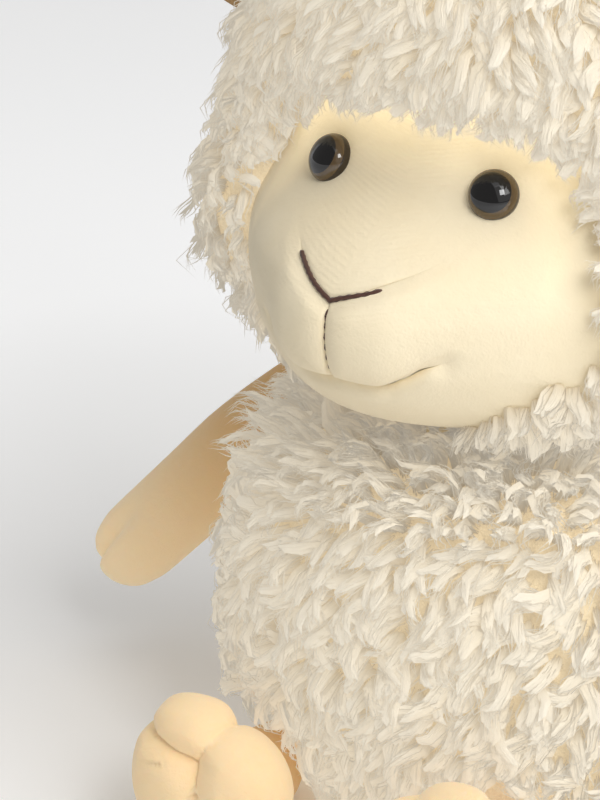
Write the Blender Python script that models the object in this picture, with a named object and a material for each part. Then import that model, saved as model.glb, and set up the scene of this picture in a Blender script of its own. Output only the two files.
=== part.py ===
"""Plush sheep, sitting. Metres, +Z up, the face towards -Y.

The origin is the middle of the flat seat, on the surface that the sheep sits on.
Every soft piece is a skin of cloth round its own stuffing. The head nods and turns on a
stuffed neck, and each limb, ear and the tail has a round root that turns in a hollow of the wool.
"""

import math

import bmesh
import bpy
import numpy as np
from mathutils import Matrix, Vector

# Cloth and clearances
CLOTH = 0.0015
SEAM_GAP = 0.0006
HOOD_EDGE_GAP = 0.0016
GAP = 0.0004
STUFFING_GAP = 0.0012
OVERRUN = 0.004
FLAT_DEPTH = 0.0005
WASHER_FIT = 0.0001

# Body
BODY_HEIGHT = 0.112
BODY_HALF_WIDTH = 0.073
BODY_HALF_DEPTH = 0.066
BODY_PILE = 0.013
NECK_HOLE_RADIUS = 0.031
PELLET_BAG_HEIGHT = 0.020

# Height and girth of the body from its seat to its neck hole
BODY_PROFILE_SHARES = (
    (0.00, 0.62), (0.05, 0.77), (0.14, 0.88), (0.26, 0.95), (0.38, 0.988), (0.50, 1.00),
    (0.62, 0.988), (0.74, 0.95), (0.83, 0.89), (0.90, 0.81), (0.95, 0.71), (0.985, 0.58),
)

# Neck
NECK_PIVOT_DEPTH = 0.012
NECK_SHOW = 0.008

# Head, without its wool
HEAD_HEIGHT = 0.130
HEAD_HALF_WIDTH = 0.066
MUZZLE_REACH = 0.0705
HEAD_BACK_REACH = 0.054
HOOD_PILE = 0.016

# Height, half width, reach of the face, reach of the back, and how far the front is drawn in
HEAD_SECTION_SHARES = (
    (0.000, 0.432, 0.404, 0.528, 0.00),
    (0.012, 0.620, 0.660, 0.690, 0.05),
    (0.046, 0.788, 0.800, 0.810, 0.15),
    (0.108, 0.900, 0.915, 0.890, 0.24),
    (0.185, 0.962, 0.986, 0.954, 0.27),
    (0.260, 0.991, 1.000, 0.985, 0.27),
    (0.310, 1.000, 0.973, 0.996, 0.27),
    (0.345, 1.000, 0.915, 1.000, 0.27),
    (0.385, 0.997, 0.810, 1.000, 0.26),
    (0.430, 0.991, 0.680, 0.996, 0.25),
    (0.480, 0.982, 0.570, 0.990, 0.23),
    (0.550, 0.955, 0.510, 0.972, 0.19),
    (0.640, 0.900, 0.480, 0.917, 0.12),
    (0.740, 0.803, 0.452, 0.824, 0.05),
    (0.840, 0.659, 0.395, 0.676, 0.00),
    (0.930, 0.455, 0.290, 0.463, 0.00),
    (0.980, 0.245, 0.160, 0.250, 0.00),
    (1.000, 0.000, 0.000, 0.000, 0.00),
)

# Turn from the front in degrees, and the share of the head's height, for each seam of the face
HOOD_EDGE_DEGREES = (0, 20, 35, 48, 57, 63, 68, 74, 80, 180)
HOOD_EDGE_SHARES = (0.600, 0.595, 0.575, 0.520, 0.420, 0.300, 0.170, 0.060, 0.000, 0.000)
CHEEK_SEAM_DEGREES = (0, 15, 24, 33, 39, 45)
CHEEK_SEAM_SHARES = (0.300, 0.342, 0.372, 0.425, 0.480, 0.535)
MOUTH_SEAM_DEGREES = (0, 14, 22, 30, 36, 49, 62, 72)
MOUTH_SEAM_SHARES = (0.138, 0.136, 0.169, 0.212, 0.208, 0.150, 0.100, 0.070)

# How far the pile stands out up the head, and how much it flares at the edge round the face
HOOD_PILE_SHARES = ((0.00, 0.08), (0.05, 0.45), (0.15, 0.90), (0.25, 1.00), (1.00, 1.00))
EDGE_FLARE_SHARE = 0.24
EDGE_FLARE_DEGREES = 16
EDGE_SIDE_DEGREES = 64
EDGE_TUCK = 0.0018

# Safety eyes
EYE_TURN_DEGREES = 28
EYE_HEIGHT_SHARE = 0.480
EYE_RADIUS = 0.0065
EYE_DOME = 0.0048
EYE_SHANK_RADIUS = 0.0022
EYE_SHANK_LENGTH = 0.012
WASHER_RADIUS = 0.0060
WASHER_THICKNESS = 0.0012

# Embroidery
THREAD_RADIUS = 0.0007
NOSE_DEGREES = (-15, -7, 0, 7, 15)
LIP_STITCH_SHARES = (0.245, 0.195, 0.155)

# Ears
EAR_LENGTH = 0.050
EAR_WIDTH = 0.030
EAR_ROOT_WIDTH = 0.018
EAR_ROOT_RADIUS = 0.0028
EAR_TURN_DEGREES = 100
EAR_HEIGHT_SHARE = 0.625
EAR_RISE_DEGREES = 28

# Leaf outline of an ear: how far along it, and its half width
EAR_OUTLINE_SHARES = (
    (0.00, 0.60), (0.15, 0.74), (0.32, 0.94), (0.48, 1.00), (0.64, 0.93), (0.80, 0.70),
    (0.92, 0.38),
)

# Arms
SHOULDER_PROUD = 0.0020
SHOULDER_DEPTH = 0.010
ARM_LENGTH = 0.105
ARM_RADIUS = 0.0130
ARM_ROOT_RADIUS = 0.0090
ARM_DROP_DEGREES = 45
ARM_LOWER_DEGREES = 10
ARM_FLATNESS_SHARE = 0.94
ARM_PROFILE_SHARES = (
    (0.00, 0.72), (0.10, 0.84), (0.22, 0.95), (0.36, 1.00), (0.55, 0.97), (0.72, 0.95),
    (0.84, 0.96), (0.92, 0.84), (0.97, 0.58), (0.993, 0.28),
)

# Legs
HIP_HALF_WIDTH = 0.0386
HIP_INSET = 0.0010
LEG_LENGTH = 0.053
LEG_RADIUS = 0.0125
LEG_ROOT_RADIUS = 0.0090
FOOT_HALF_WIDTH = 0.0240
FOOT_HEIGHT = 0.045
LEG_TURN_DEGREES = 9
LEG_RAISE_DEGREES = 18
LEG_LOWER_DEGREES = 12
LEG_SETTLE_SHARE = 0.26
TOE_FROM_SHARE = 0.80
TOE_CLEFT_DEPTH = 0.004
TOE_CLEFT_HALF_WIDTH = 0.007

# How far along the leg, then how far the shape has gone from leg to foot
FOOT_GROWTH_SHARES = (
    (0.00, 0.00), (0.14, 0.00), (0.26, 0.02), (0.36, 0.20), (0.46, 0.58), (0.58, 0.88),
    (0.72, 1.00), (0.84, 0.97), (0.93, 0.82), (0.98, 0.55), (0.997, 0.26),
)
LEG_ROOT_GROWTH_SHARES = ((0.00, 0.72), (0.14, 0.92), (0.26, 1.00), (1.00, 1.00))

# Tail
TAIL_LENGTH = 0.028
TAIL_RADIUS = 0.0105
TAIL_ROOT_RADIUS = 0.0055
TAIL_HEIGHT = 0.036
TAIL_DROP_DEGREES = 52
TAIL_LIFT_DEGREES = 25
TAIL_LOWER_DEGREES = 8
TAIL_PROFILE_SHARES = (
    (0.00, 0.52), (0.20, 0.80), (0.45, 1.00), (0.70, 0.94), (0.88, 0.66), (0.97, 0.34),
)

# Facets and steps
TINY = 1e-12
NORMAL_STEP = 1e-3
BODY_SIDES = 28
LIMB_SIDES = 16
ROUND_SIDES = 24
ROOT_STEPS = 3
ROOT_OPEN_DEGREES = 65
HEAD_ROWS = 16
FACE_ROWS = 8
FACE_ROWS_FROM_SHARE = 0.20
FACE_ROWS_TO_SHARE = 0.66
FACE_STEP_DEGREES = 7
BRIDGE_STEPS = 6
CHIN_STEPS = 10
FACE_EDGE_DEGREES = 84
BACK_STEP_DEGREES = 16

CREAM = (0.86, 0.72, 0.48)
WOOL = (0.84, 0.79, 0.68)
FILL = (0.93, 0.93, 0.92)
TAN = (0.45, 0.30, 0.17)
THREAD_BROWN = (0.13, 0.07, 0.04)
EYE_BROWN = (0.05, 0.025, 0.012)
WASHER_WHITE = (0.80, 0.80, 0.78)
BAG_GREY = (0.55, 0.55, 0.53)


def clear_scene():
    for obj in list(bpy.data.objects):
        bpy.data.objects.remove(obj, do_unlink=True)


def material(name, colour, roughness):
    made = bpy.data.materials.new(name)
    made.use_nodes = True
    shader = made.node_tree.nodes["Principled BSDF"]
    shader.inputs["Base Color"].default_value = (*colour, 1)
    shader.inputs["Roughness"].default_value = roughness
    shader.inputs["Metallic"].default_value = 0
    return made


def smooth_read(shares, at, column=1):
    """Reads a table of shares with a curve that has no overshoot between its rows."""
    x = np.array([row[0] for row in shares], float)
    y = np.array([row[column] for row in shares], float)
    slope = np.diff(y) / np.diff(x)
    before = slope[:-1]
    after = slope[1:]
    inner = np.where(before * after > 0, 2 * before * after / (before + after + TINY), 0)
    tangent = np.concatenate([slope[:1], inner, slope[-1:]])
    at = np.clip(np.asarray(at, float), x[0], x[-1])
    k = np.clip(np.searchsorted(x, at, side="right") - 1, 0, len(x) - 2)
    width = x[k + 1] - x[k]
    t = (at - x[k]) / width
    start = (1 + 2 * t) * (1 - t) ** 2 * y[k] + t * (1 - t) ** 2 * width * tangent[k]
    end = t * t * (3 - 2 * t) * y[k + 1] + t * t * (t - 1) * width * tangent[k + 1]
    return start + end


def read_seam(degrees, shares, turn):
    """Height share of a seam at each turn from the front, the same on both sides."""
    return smooth_read(tuple(zip(degrees, shares)), np.abs(np.degrees(turn)))


def new_object(name, points, faces, made_of):
    mesh = bpy.data.meshes.new(name)
    mesh.from_pydata([tuple(point) for point in points], [], faces)
    build = bmesh.new()
    build.from_mesh(mesh)
    bmesh.ops.recalc_face_normals(build, faces=build.faces)
    build.to_mesh(mesh)
    build.free()
    mesh.shade_smooth()
    obj = bpy.data.objects.new(name, mesh)
    bpy.context.scene.collection.objects.link(obj)
    mesh.materials.append(made_of)
    return obj


def strip(first, second, count, closed=True):
    """Faces between two rings of points that start at these two numbers."""
    last = count if closed else count - 1
    return [
        (first + i, first + (i + 1) % count, second + (i + 1) % count, second + i)
        for i in range(last)
    ]


def fan(pole, ring, count):
    return [(pole, ring + i, ring + (i + 1) % count) for i in range(count)]


def tube(start, rings, count):
    """Faces between each ring and the next, the first ring starting at this point's number."""
    faces = []
    for i in range(rings - 1):
        faces += strip(start + i * count, start + (i + 1) * count, count)
    return faces


def closed_form(name, rings, start, end, made_of):
    """A solid through rings of points, closed by a point at each end."""
    count = len(rings[0])
    points = np.concatenate([*rings, [start, end]])
    faces = tube(0, len(rings), count)
    faces += fan(len(points) - 2, 0, count)
    faces += fan(len(points) - 1, (len(rings) - 1) * count, count)
    return new_object(name, points, faces, made_of)


def open_skin(name, outer, inner, outer_end, inner_end, made_of):
    """A skin between two sets of rings: open at the first ring, closed by a point at the last."""
    count = len(outer[0])
    points = np.concatenate([*outer, *inner, [outer_end, inner_end]])
    after = len(outer) * count
    faces = tube(0, len(outer), count) + tube(after, len(inner), count)
    faces += strip(0, after, count)
    faces += fan(len(points) - 2, after - count, count)
    faces += fan(len(points) - 1, after + (len(inner) - 1) * count, count)
    return new_object(name, points, faces, made_of)


def patch(name, outer, inner, made_of):
    """A panel of cloth between two grids of points, closed round its four edges."""
    across, up = outer.shape[:2]
    points = np.concatenate([outer.reshape(-1, 3), inner.reshape(-1, 3)])
    after = across * up
    faces = []
    for base in (0, after):
        for i in range(across - 1):
            faces += strip(base + i * up, base + (i + 1) * up, up, closed=False)
    edge = [i * up for i in range(across)]
    edge += [(across - 1) * up + k for k in range(1, up)]
    edge += [i * up + up - 1 for i in range(across - 2, -1, -1)]
    edge += list(range(up - 2, 0, -1))
    faces += [
        (edge[i], edge[(i + 1) % len(edge)], after + edge[(i + 1) % len(edge)], after + edge[i])
        for i in range(len(edge))
    ]
    return new_object(name, points, faces, made_of)


def cutter(obj):
    obj.hide_render = True
    obj.display_type = "WIRE"
    return obj


def cut(obj, tool):
    boolean = obj.modifiers.new(f"cut by {tool.name}", "BOOLEAN")
    boolean.operation = "DIFFERENCE"
    boolean.object = tool


def oval(half_width, half_depth, height, count=BODY_SIDES):
    turn = np.arange(count) * math.tau / count
    level = np.full(count, height)
    return np.stack([half_width * np.sin(turn), -half_depth * np.cos(turn), level], axis=1)


# Body

def body_ring(share, inset, bottom):
    girth = smooth_read(BODY_PROFILE_SHARES, share)
    height = bottom + share * (BODY_HEIGHT - inset - bottom)
    return oval(girth * BODY_HALF_WIDTH - inset, girth * BODY_HALF_DEPTH - inset, height)


def body_half_sizes(height):
    """Half width and half depth of the body at this height."""
    girth = float(smooth_read(BODY_PROFILE_SHARES, height / BODY_HEIGHT))
    return girth * BODY_HALF_WIDTH, girth * BODY_HALF_DEPTH


def body_rings(inset, bottom, lowest_share=0.0):
    """Rings up to where the body, this far inside its outer face, has narrowed to its neck hole."""
    shares = [share for share, _ in BODY_PROFILE_SHARES if share > lowest_share]
    rings = [body_ring(share, inset, bottom) for share in [lowest_share, *shares]]
    while np.abs(rings[-1][:, 1]).max() < NECK_HOLE_RADIUS + GAP:
        rings.pop()
    return rings


def build_body(wool, fill, bag):
    outer = body_rings(0, 0)
    outer.append(oval(NECK_HOLE_RADIUS, NECK_HOLE_RADIUS, BODY_HEIGHT))
    inner = body_rings(BODY_PILE, BODY_PILE)
    inner.append(oval(NECK_HOLE_RADIUS, NECK_HOLE_RADIUS, BODY_HEIGHT - BODY_PILE))
    seat = Vector((0, 0, 0))
    inner_seat = Vector((0, 0, BODY_PILE))
    cover = open_skin("body_wool", outer[::-1], inner[::-1], seat, inner_seat, wool)

    inset = BODY_PILE + GAP
    split = inset + PELLET_BAG_HEIGHT
    room = BODY_HEIGHT - 2 * inset
    split_share = PELLET_BAG_HEIGHT / room
    upper = body_rings(inset, inset, split_share + GAP / room)
    upper.append(oval(NECK_HOLE_RADIUS - GAP, NECK_HOLE_RADIUS - GAP, BODY_HEIGHT - inset))
    upper_start = Vector((0, 0, upper[0][0][2]))
    upper_end = Vector((0, 0, BODY_HEIGHT - inset))
    closed_form("body_stuffing", upper, upper_start, upper_end, fill)

    lower_shares = [share for share, _ in BODY_PROFILE_SHARES if share < split_share]
    lower = [body_ring(share, inset, inset) for share in [*lower_shares, split_share]]
    closed_form("pellet_bag", lower, Vector((0, 0, inset)), Vector((0, 0, split)), bag)
    return cover


# Neck

def build_neck(cloth):
    """A round plug in the body's neck hole with a ball on top, turned about the upright axis."""
    plug = NECK_HOLE_RADIUS - GAP
    bottom = BODY_HEIGHT - BODY_PILE
    ball = neck_ball_radius()
    start = math.acos(plug / ball)
    rings = [oval(plug, plug, bottom, ROUND_SIDES)]
    steps = 2 * ROOT_STEPS
    for step in range(steps):
        angle = start + (math.pi / 2 - start) * step / steps
        radius = ball * math.cos(angle)
        rings.append(oval(radius, radius, neck_pivot_height() + ball * math.sin(angle), ROUND_SIDES))
    top = Vector((0, 0, neck_pivot_height() + ball))
    closed_form("neck_roll", rings, Vector((0, 0, bottom)), top, cloth)


def neck_pivot_height():
    return BODY_HEIGHT - NECK_PIVOT_DEPTH


def neck_ball_radius():
    """The ball is centred on the nod's pivot and leaves the body at the rim of its neck hole."""
    return math.hypot(NECK_HOLE_RADIUS - GAP, NECK_PIVOT_DEPTH + GAP)


# Head

def head_points(turn, share, inset=0.0):
    """Points of the head without its wool, at each turn from the front and share of its height."""
    if np.any(inset):
        return head_points(turn, share) - np.asarray(inset)[..., None] * head_normals(turn, share)
    width = smooth_read(HEAD_SECTION_SHARES, share, 1) * HEAD_HALF_WIDTH
    front = smooth_read(HEAD_SECTION_SHARES, share, 2) * MUZZLE_REACH
    back = smooth_read(HEAD_SECTION_SHARES, share, 3) * HEAD_BACK_REACH
    drawn_in = smooth_read(HEAD_SECTION_SHARES, share, 4)
    ahead = np.maximum(np.cos(turn), 0)
    side = np.sin(turn) * (1 - drawn_in * ahead ** 2)
    reach = np.where(ahead > 0, front, back)
    height = head_base() + share * HEAD_HEIGHT
    return np.stack([width * side, -reach * np.cos(turn), height + 0 * turn], axis=-1)


def head_base():
    return BODY_HEIGHT + NECK_SHOW


def head_normals(turn, share):
    across = head_points(turn + NORMAL_STEP, share) - head_points(turn - NORMAL_STEP, share)
    low = np.clip(share - NORMAL_STEP, 0, 1 - 2 * NORMAL_STEP)
    upward = head_points(turn, low + 2 * NORMAL_STEP) - head_points(turn, low)
    normal = np.cross(across, upward)
    normal /= np.linalg.norm(normal, axis=-1, keepdims=True)
    return normal


def head_turns():
    front = np.arange(-FACE_EDGE_DEGREES, FACE_EDGE_DEGREES + 1, FACE_STEP_DEGREES)
    first = FACE_EDGE_DEGREES + BACK_STEP_DEGREES
    back = np.arange(first, 360 - FACE_EDGE_DEGREES, BACK_STEP_DEGREES)
    return np.radians(np.concatenate([front, back]).astype(float))


def hood_edge(turn):
    degrees = np.abs((np.degrees(turn) + 180) % 360 - 180)
    return smooth_read(tuple(zip(HOOD_EDGE_DEGREES, HOOD_EDGE_SHARES)), degrees)


def near_hood_edge(turn):
    """One where the sides of the hood's edge run, falling off to nothing to both sides."""
    degrees = np.abs((np.degrees(turn) + 180) % 360 - 180)
    return np.exp(-(((degrees - EDGE_SIDE_DEGREES) / EDGE_FLARE_DEGREES) ** 2))


def build_hood(wool):
    turns = head_turns()
    low = hood_edge(turns)
    rows = np.linspace(0, math.pi, HEAD_ROWS + 1)[:-1]
    spread = (1 - np.cos(rows)) / 2
    share = low[:, None] + (1 - low[:, None]) * spread[None, :]
    turn = np.repeat(turns[:, None], HEAD_ROWS, axis=1)
    backing = head_points(turn, share, CLOTH)
    pile = smooth_read(HOOD_PILE_SHARES, share) * HOOD_PILE
    flared = near_hood_edge(turn) * (share < max(HOOD_EDGE_SHARES))
    pile = pile * (1 + EDGE_FLARE_SHARE * flared)
    outer = head_points(turn, share) + head_normals(turn, share) * pile[..., None]
    top = head_base() + HEAD_HEIGHT
    outer_rings = [outer[:, row] for row in range(HEAD_ROWS)]
    inner_rings = [backing[:, row] for row in range(HEAD_ROWS)]
    return open_skin(
        "hood_wool",
        outer_rings,
        inner_rings,
        Vector((0, 0, top + HOOD_PILE)),
        Vector((0, 0, top - CLOTH)),
        wool,
    )


def panel(turns, low, high):
    """Outer and inner points of one panel, between two seams given as height shares at each turn."""
    rows = np.linspace(0, 1, FACE_ROWS)
    share = low[:, None] + (high - low)[:, None] * rows[None, :]
    turn = np.repeat(turns[:, None], FACE_ROWS, axis=1)
    return head_points(turn, share), head_points(turn, share, CLOTH)


def face_turns(low_step, high_step):
    """Turns that the panels share with the hood, counted in steps from the front."""
    return np.radians(np.arange(low_step, high_step + 1) * float(FACE_STEP_DEGREES))


def build_face(cloth):
    seam = SEAM_GAP / HEAD_HEIGHT
    edge = HOOD_EDGE_GAP / HEAD_HEIGHT
    turns = face_turns(-BRIDGE_STEPS, BRIDGE_STEPS)
    low = read_seam(CHEEK_SEAM_DEGREES, CHEEK_SEAM_SHARES, turns) + seam
    high = hood_edge(turns) - edge
    bridge = patch("face_bridge", *panel(turns, low, high), cloth)

    for name, side in (("cheek_right", -1), ("cheek_left", 1)):
        turns = face_turns(0, CHIN_STEPS)
        low = read_seam(MOUTH_SEAM_DEGREES, MOUTH_SEAM_SHARES, turns) + seam
        upper_seam = read_seam(CHEEK_SEAM_DEGREES, CHEEK_SEAM_SHARES, turns)
        upper_seam = np.where(np.arange(len(turns)) > BRIDGE_STEPS, 1, upper_seam)
        high = np.minimum(upper_seam - seam, hood_edge(turns) - edge)
        outer, inner = panel(turns, low, high)
        for grid in (outer, inner):
            grid[0, :, 0] = GAP
            grid[..., 0] *= side
        patch(name, outer, inner, cloth)

    turns = face_turns(-CHIN_STEPS, CHIN_STEPS)
    high = read_seam(MOUTH_SEAM_DEGREES, MOUTH_SEAM_SHARES, turns)
    high = np.minimum(high - seam, hood_edge(turns) - edge)
    patch("chin_panel", *panel(turns, 0 * high, high), cloth)
    return bridge


def build_head_stuffing(fill):
    turns = head_turns()
    inset = CLOTH + STUFFING_GAP + EDGE_TUCK * near_hood_edge(turns)
    shares = (1 - np.cos(np.linspace(0, math.pi, HEAD_ROWS + 1)[:-1])) / 2
    between = (shares[1:] + shares[:-1]) / 2
    face_rows = between[(between > FACE_ROWS_FROM_SHARE) & (between < FACE_ROWS_TO_SHARE)]
    shares = np.sort(np.concatenate([shares, face_rows]))
    rings = [head_points(turns, np.full(len(turns), share), inset) for share in shares]
    bottom = Vector((0, 0, rings[0][0][2]))
    top = Vector((0, 0, head_base() + HEAD_HEIGHT - CLOTH - STUFFING_GAP))
    return closed_form("head_stuffing", rings, bottom, top, fill)


def ball(name, radius, centre, made_of):
    build = bmesh.new()
    bmesh.ops.create_uvsphere(build, u_segments=ROUND_SIDES, v_segments=ROUND_SIDES // 2, radius=radius)
    mesh = bpy.data.meshes.new(name)
    build.to_mesh(mesh)
    build.free()
    mesh.shade_smooth()
    mesh.materials.append(made_of)
    obj = bpy.data.objects.new(name, mesh)
    obj.location = centre
    bpy.context.scene.collection.objects.link(obj)
    return obj


# Eyes

def turned(name, profile, sides, made_of):
    """A piece turned about its own Z axis from a profile of radius and height, from end to end."""
    rings = [oval(radius, radius, height, sides) for radius, height in profile[1:-1]]
    start = Vector((0, 0, profile[0][1]))
    end = Vector((0, 0, profile[-1][1]))
    return closed_form(name, rings, start, end, made_of)


def stand(obj, at, axis):
    obj.matrix_world = Matrix.Translation(at) @ Vector(axis).to_track_quat("Z", "X").to_matrix().to_4x4()


def eye_place(side):
    turn = np.array([math.radians(EYE_TURN_DEGREES) * side])
    share = np.array([EYE_HEIGHT_SHARE])
    return Vector(head_points(turn, share)[0]), Vector(head_normals(turn, share)[0])


def build_eye(word, side, bridge, filling, eye, plastic):
    at, axis = eye_place(side)
    seat = GAP + CLOTH / 2
    quarter = [math.pi / 2 * step / ROOT_STEPS for step in range(ROOT_STEPS)]
    dome = [(EYE_RADIUS * math.cos(a), seat + EYE_DOME * math.sin(a)) for a in quarter]
    profile = [(0, -EYE_SHANK_LENGTH), (EYE_SHANK_RADIUS, -EYE_SHANK_LENGTH), (EYE_SHANK_RADIUS, seat)]
    profile += [*dome, (0, seat + EYE_DOME)]
    stand(turned(f"eye_{word}", profile, ROUND_SIDES, eye), at, axis)

    top = -(CLOTH + STUFFING_GAP)
    bore = EYE_SHANK_RADIUS + WASHER_FIT
    name = f"eye_washer_{word}"
    washer = ring_solid(name, bore, WASHER_RADIUS, top - WASHER_THICKNESS, top, plastic)
    stand(washer, at, axis)

    hole_radius = EYE_SHANK_RADIUS + GAP
    press_radius = EYE_RADIUS + GAP
    pressed = seat - GAP
    hole_profile = [(0, -OVERRUN), (hole_radius, -OVERRUN), (hole_radius, pressed)]
    hole_profile += [(press_radius, pressed), (press_radius, OVERRUN), (0, OVERRUN)]
    hole = turned(f"eye_hole_{word}", hole_profile, LIMB_SIDES, plastic)
    stand(cutter(hole), at, axis)
    cut(bridge, hole)
    pocket_radius = WASHER_RADIUS + GAP
    pocket_depth = EYE_SHANK_LENGTH + GAP
    pocket_profile = [(0, -pocket_depth), (pocket_radius, -pocket_depth)]
    pocket_profile += [(pocket_radius, OVERRUN), (0, OVERRUN)]
    pocket = turned(f"eye_pocket_{word}", pocket_profile, LIMB_SIDES, plastic)
    stand(cutter(pocket), at, axis)
    cut(filling, pocket)


def ring_solid(name, bore, radius, low, high, made_of):
    """A flat ring about the Z axis."""
    circles = [
        oval(radius, radius, low, LIMB_SIDES),
        oval(radius, radius, high, LIMB_SIDES),
        oval(bore, bore, high, LIMB_SIDES),
        oval(bore, bore, low, LIMB_SIDES),
    ]
    faces = tube(0, len(circles), LIMB_SIDES)
    faces += strip((len(circles) - 1) * LIMB_SIDES, 0, LIMB_SIDES)
    return new_object(name, np.concatenate(circles), faces, made_of)


# Embroidery

def thread(name, points, made_of):
    curve = bpy.data.curves.new(name, "CURVE")
    curve.dimensions = "3D"
    curve.bevel_depth = THREAD_RADIUS
    curve.bevel_resolution = 1
    curve.use_fill_caps = True
    spline = curve.splines.new("POLY")
    spline.points.add(len(points) - 1)
    for slot, point in zip(spline.points, points):
        slot.co = (*point, 1)
    curve.materials.append(made_of)
    obj = bpy.data.objects.new(name, curve)
    bpy.context.scene.collection.objects.link(obj)
    return obj


def face_thread(name, degrees, shares, made_of):
    turn = np.radians(np.array(degrees, float))
    share = np.array(shares, float)
    raised = head_points(turn, share) + head_normals(turn, share) * (THREAD_RADIUS + GAP)
    return thread(name, raised, made_of)


def build_embroidery(brown):
    turns = np.radians(np.array(NOSE_DEGREES, float))
    seam = read_seam(CHEEK_SEAM_DEGREES, CHEEK_SEAM_SHARES, turns)
    face_thread("nose_stitch", NOSE_DEGREES, seam, brown)
    face_thread("lip_stitch", [0] * len(LIP_STITCH_SHARES), LIP_STITCH_SHARES, brown)


# Limbs, each in its own frame: the root's ball at the origin, the limb along +X

def root_stations(radius):
    """Half ball round the joint, from the sewn opening to its widest."""
    opening = math.radians(ROOT_OPEN_DEGREES)
    angles = [opening * (1 - step / ROOT_STEPS) for step in range(ROOT_STEPS)]
    return [(-radius * math.sin(angle), radius * math.cos(angle)) for angle in angles]


def round_ring(along, half_width, half_height, rise):
    turn = np.arange(LIMB_SIDES) * math.tau / LIMB_SIDES
    place = np.full(LIMB_SIDES, along)
    return np.stack([place, half_width * np.sin(turn), rise + half_height * np.cos(turn)], axis=1)


def arm_stations(inset):
    """Places along the arm and its radius there, this far inside the cloth's outer face."""
    stations = root_stations(ARM_ROOT_RADIUS - inset)
    usable = ARM_LENGTH - inset
    stations += [(share * usable, girth * ARM_RADIUS - inset) for share, girth in ARM_PROFILE_SHARES]
    return [(along, max(radius, GAP)) for along, radius in stations], usable


def arm_rings(inset):
    stations, tip = arm_stations(inset)
    rings = [round_ring(along, radius * ARM_FLATNESS_SHARE, radius, 0) for along, radius in stations]
    return rings, Vector((tip, 0, 0))


def leg_rings(inset):
    """A tube that grows into an upright foot, with its underside level with the seat."""
    root = root_stations(LEG_ROOT_RADIUS - inset)
    rings = [round_ring(along, radius, radius, 0) for along, radius in root]
    usable = LEG_LENGTH - inset
    for share, growth in FOOT_GROWTH_SHARES:
        start = smooth_read(LEG_ROOT_GROWTH_SHARES, share) * LEG_RADIUS
        toe = share > TOE_FROM_SHARE
        grown = 1 if toe else growth
        closing = growth if toe else 1
        width = start + (FOOT_HALF_WIDTH - start) * grown
        height = start + (FOOT_HEIGHT / 2 - start) * grown
        rise = (height - LEG_RADIUS) * min(1, share / LEG_SETTLE_SHARE)
        half_width = max(width * closing - inset, GAP)
        half_height = max(height * closing - inset, GAP)
        ring = round_ring(share * usable, half_width, half_height, rise)
        if toe:
            reached = (share - TOE_FROM_SHARE) / (1 - TOE_FROM_SHARE)
            cleft = np.exp(-((ring[:, 1] / TOE_CLEFT_HALF_WIDTH) ** 2))
            ring[:, 0] -= TOE_CLEFT_DEPTH * cleft * reached
        rings.append(ring)
    tip_rise = FOOT_HEIGHT / 2 - LEG_RADIUS
    return rings, Vector((usable - TOE_CLEFT_DEPTH, 0, tip_rise))


def limb_matrix(pivot, heading_degrees, drop_degrees):
    heading = Matrix.Rotation(math.radians(heading_degrees), 4, "Z")
    drop = Matrix.Rotation(math.radians(drop_degrees), 4, "Y")
    return Matrix.Translation(pivot) @ heading @ drop


def limb_skin(name, rings_at, made_of):
    outer, outer_tip = rings_at(0)
    inner, inner_tip = rings_at(CLOTH)
    return open_skin(name, outer, inner, outer_tip, inner_tip, made_of)


def limb_fill(name, rings_at, made_of):
    rings, tip = rings_at(CLOTH + GAP)
    start = Vector((rings[0][0][0], 0, 0))
    return closed_form(name, rings, start, tip, made_of)


def make_room(obj, name, rings_at, places, made_of):
    """Cuts the space that a limb needs at each of its places, with its root's ball at the first."""
    for i, place in enumerate(places):
        rings, tip = rings_at(-GAP)
        start = Vector((-math.hypot(rings[0][0][0], rings[0][0][2]), 0, 0))
        if i:
            rings = rings[ROOT_STEPS:]
            start = Vector((rings[0][0][0], 0, 0))
        hollow = cutter(closed_form(f"{name}_{i}", rings, start, tip, made_of))
        hollow.matrix_world = place
        cut(obj, hollow)


def build_arm(word, side, body, cloth, fill, brown):
    height = BODY_HEIGHT - SHOULDER_DEPTH
    half_width, _ = body_half_sizes(height)
    pivot = Vector((side * (half_width + SHOULDER_PROUD), 0, height))
    heading = 0 if side > 0 else 180
    place = limb_matrix(pivot, heading, ARM_DROP_DEGREES)
    limb_skin(f"arm_skin_{word}", arm_rings, cloth).matrix_world = place
    limb_fill(f"arm_stuffing_{word}", arm_rings, fill).matrix_world = place
    lowered = limb_matrix(pivot, heading, ARM_DROP_DEGREES + ARM_LOWER_DEGREES)
    make_room(body, f"arm_hollow_{word}", arm_rings, [lowered], cloth)

    rings, tip = arm_rings(0)
    thread(f"paw_stitch_{word}", over_the_tip(rings[-3:], tip, 3), brown).matrix_world = place


def over_the_tip(rings, tip, below):
    """Points just clear of the skin, from the top of these rings over the limb's tip and down again."""
    top = [Vector(ring[0]) for ring in rings]
    bottom = [Vector(ring[LIMB_SIDES // 2]) for ring in reversed(rings)]
    line = [*top, tip, *bottom[:below]]
    across = Vector((0, 1, 0))
    inside = Vector((0, 0, tip.z))
    outward = []
    for first, second in zip(line, line[1:]):
        way = (second - first).cross(across).normalized()
        outward.append(-way if way.dot(first + second - 2 * inside) < 0 else way)
    outward = [outward[0], *outward, outward[-1]]
    clear = THREAD_RADIUS + GAP
    raised = []
    for point, before, after in zip(line, outward, outward[1:]):
        raised.append(point + (before + after) * clear / (1 + before.dot(after)))
    return raised


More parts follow.
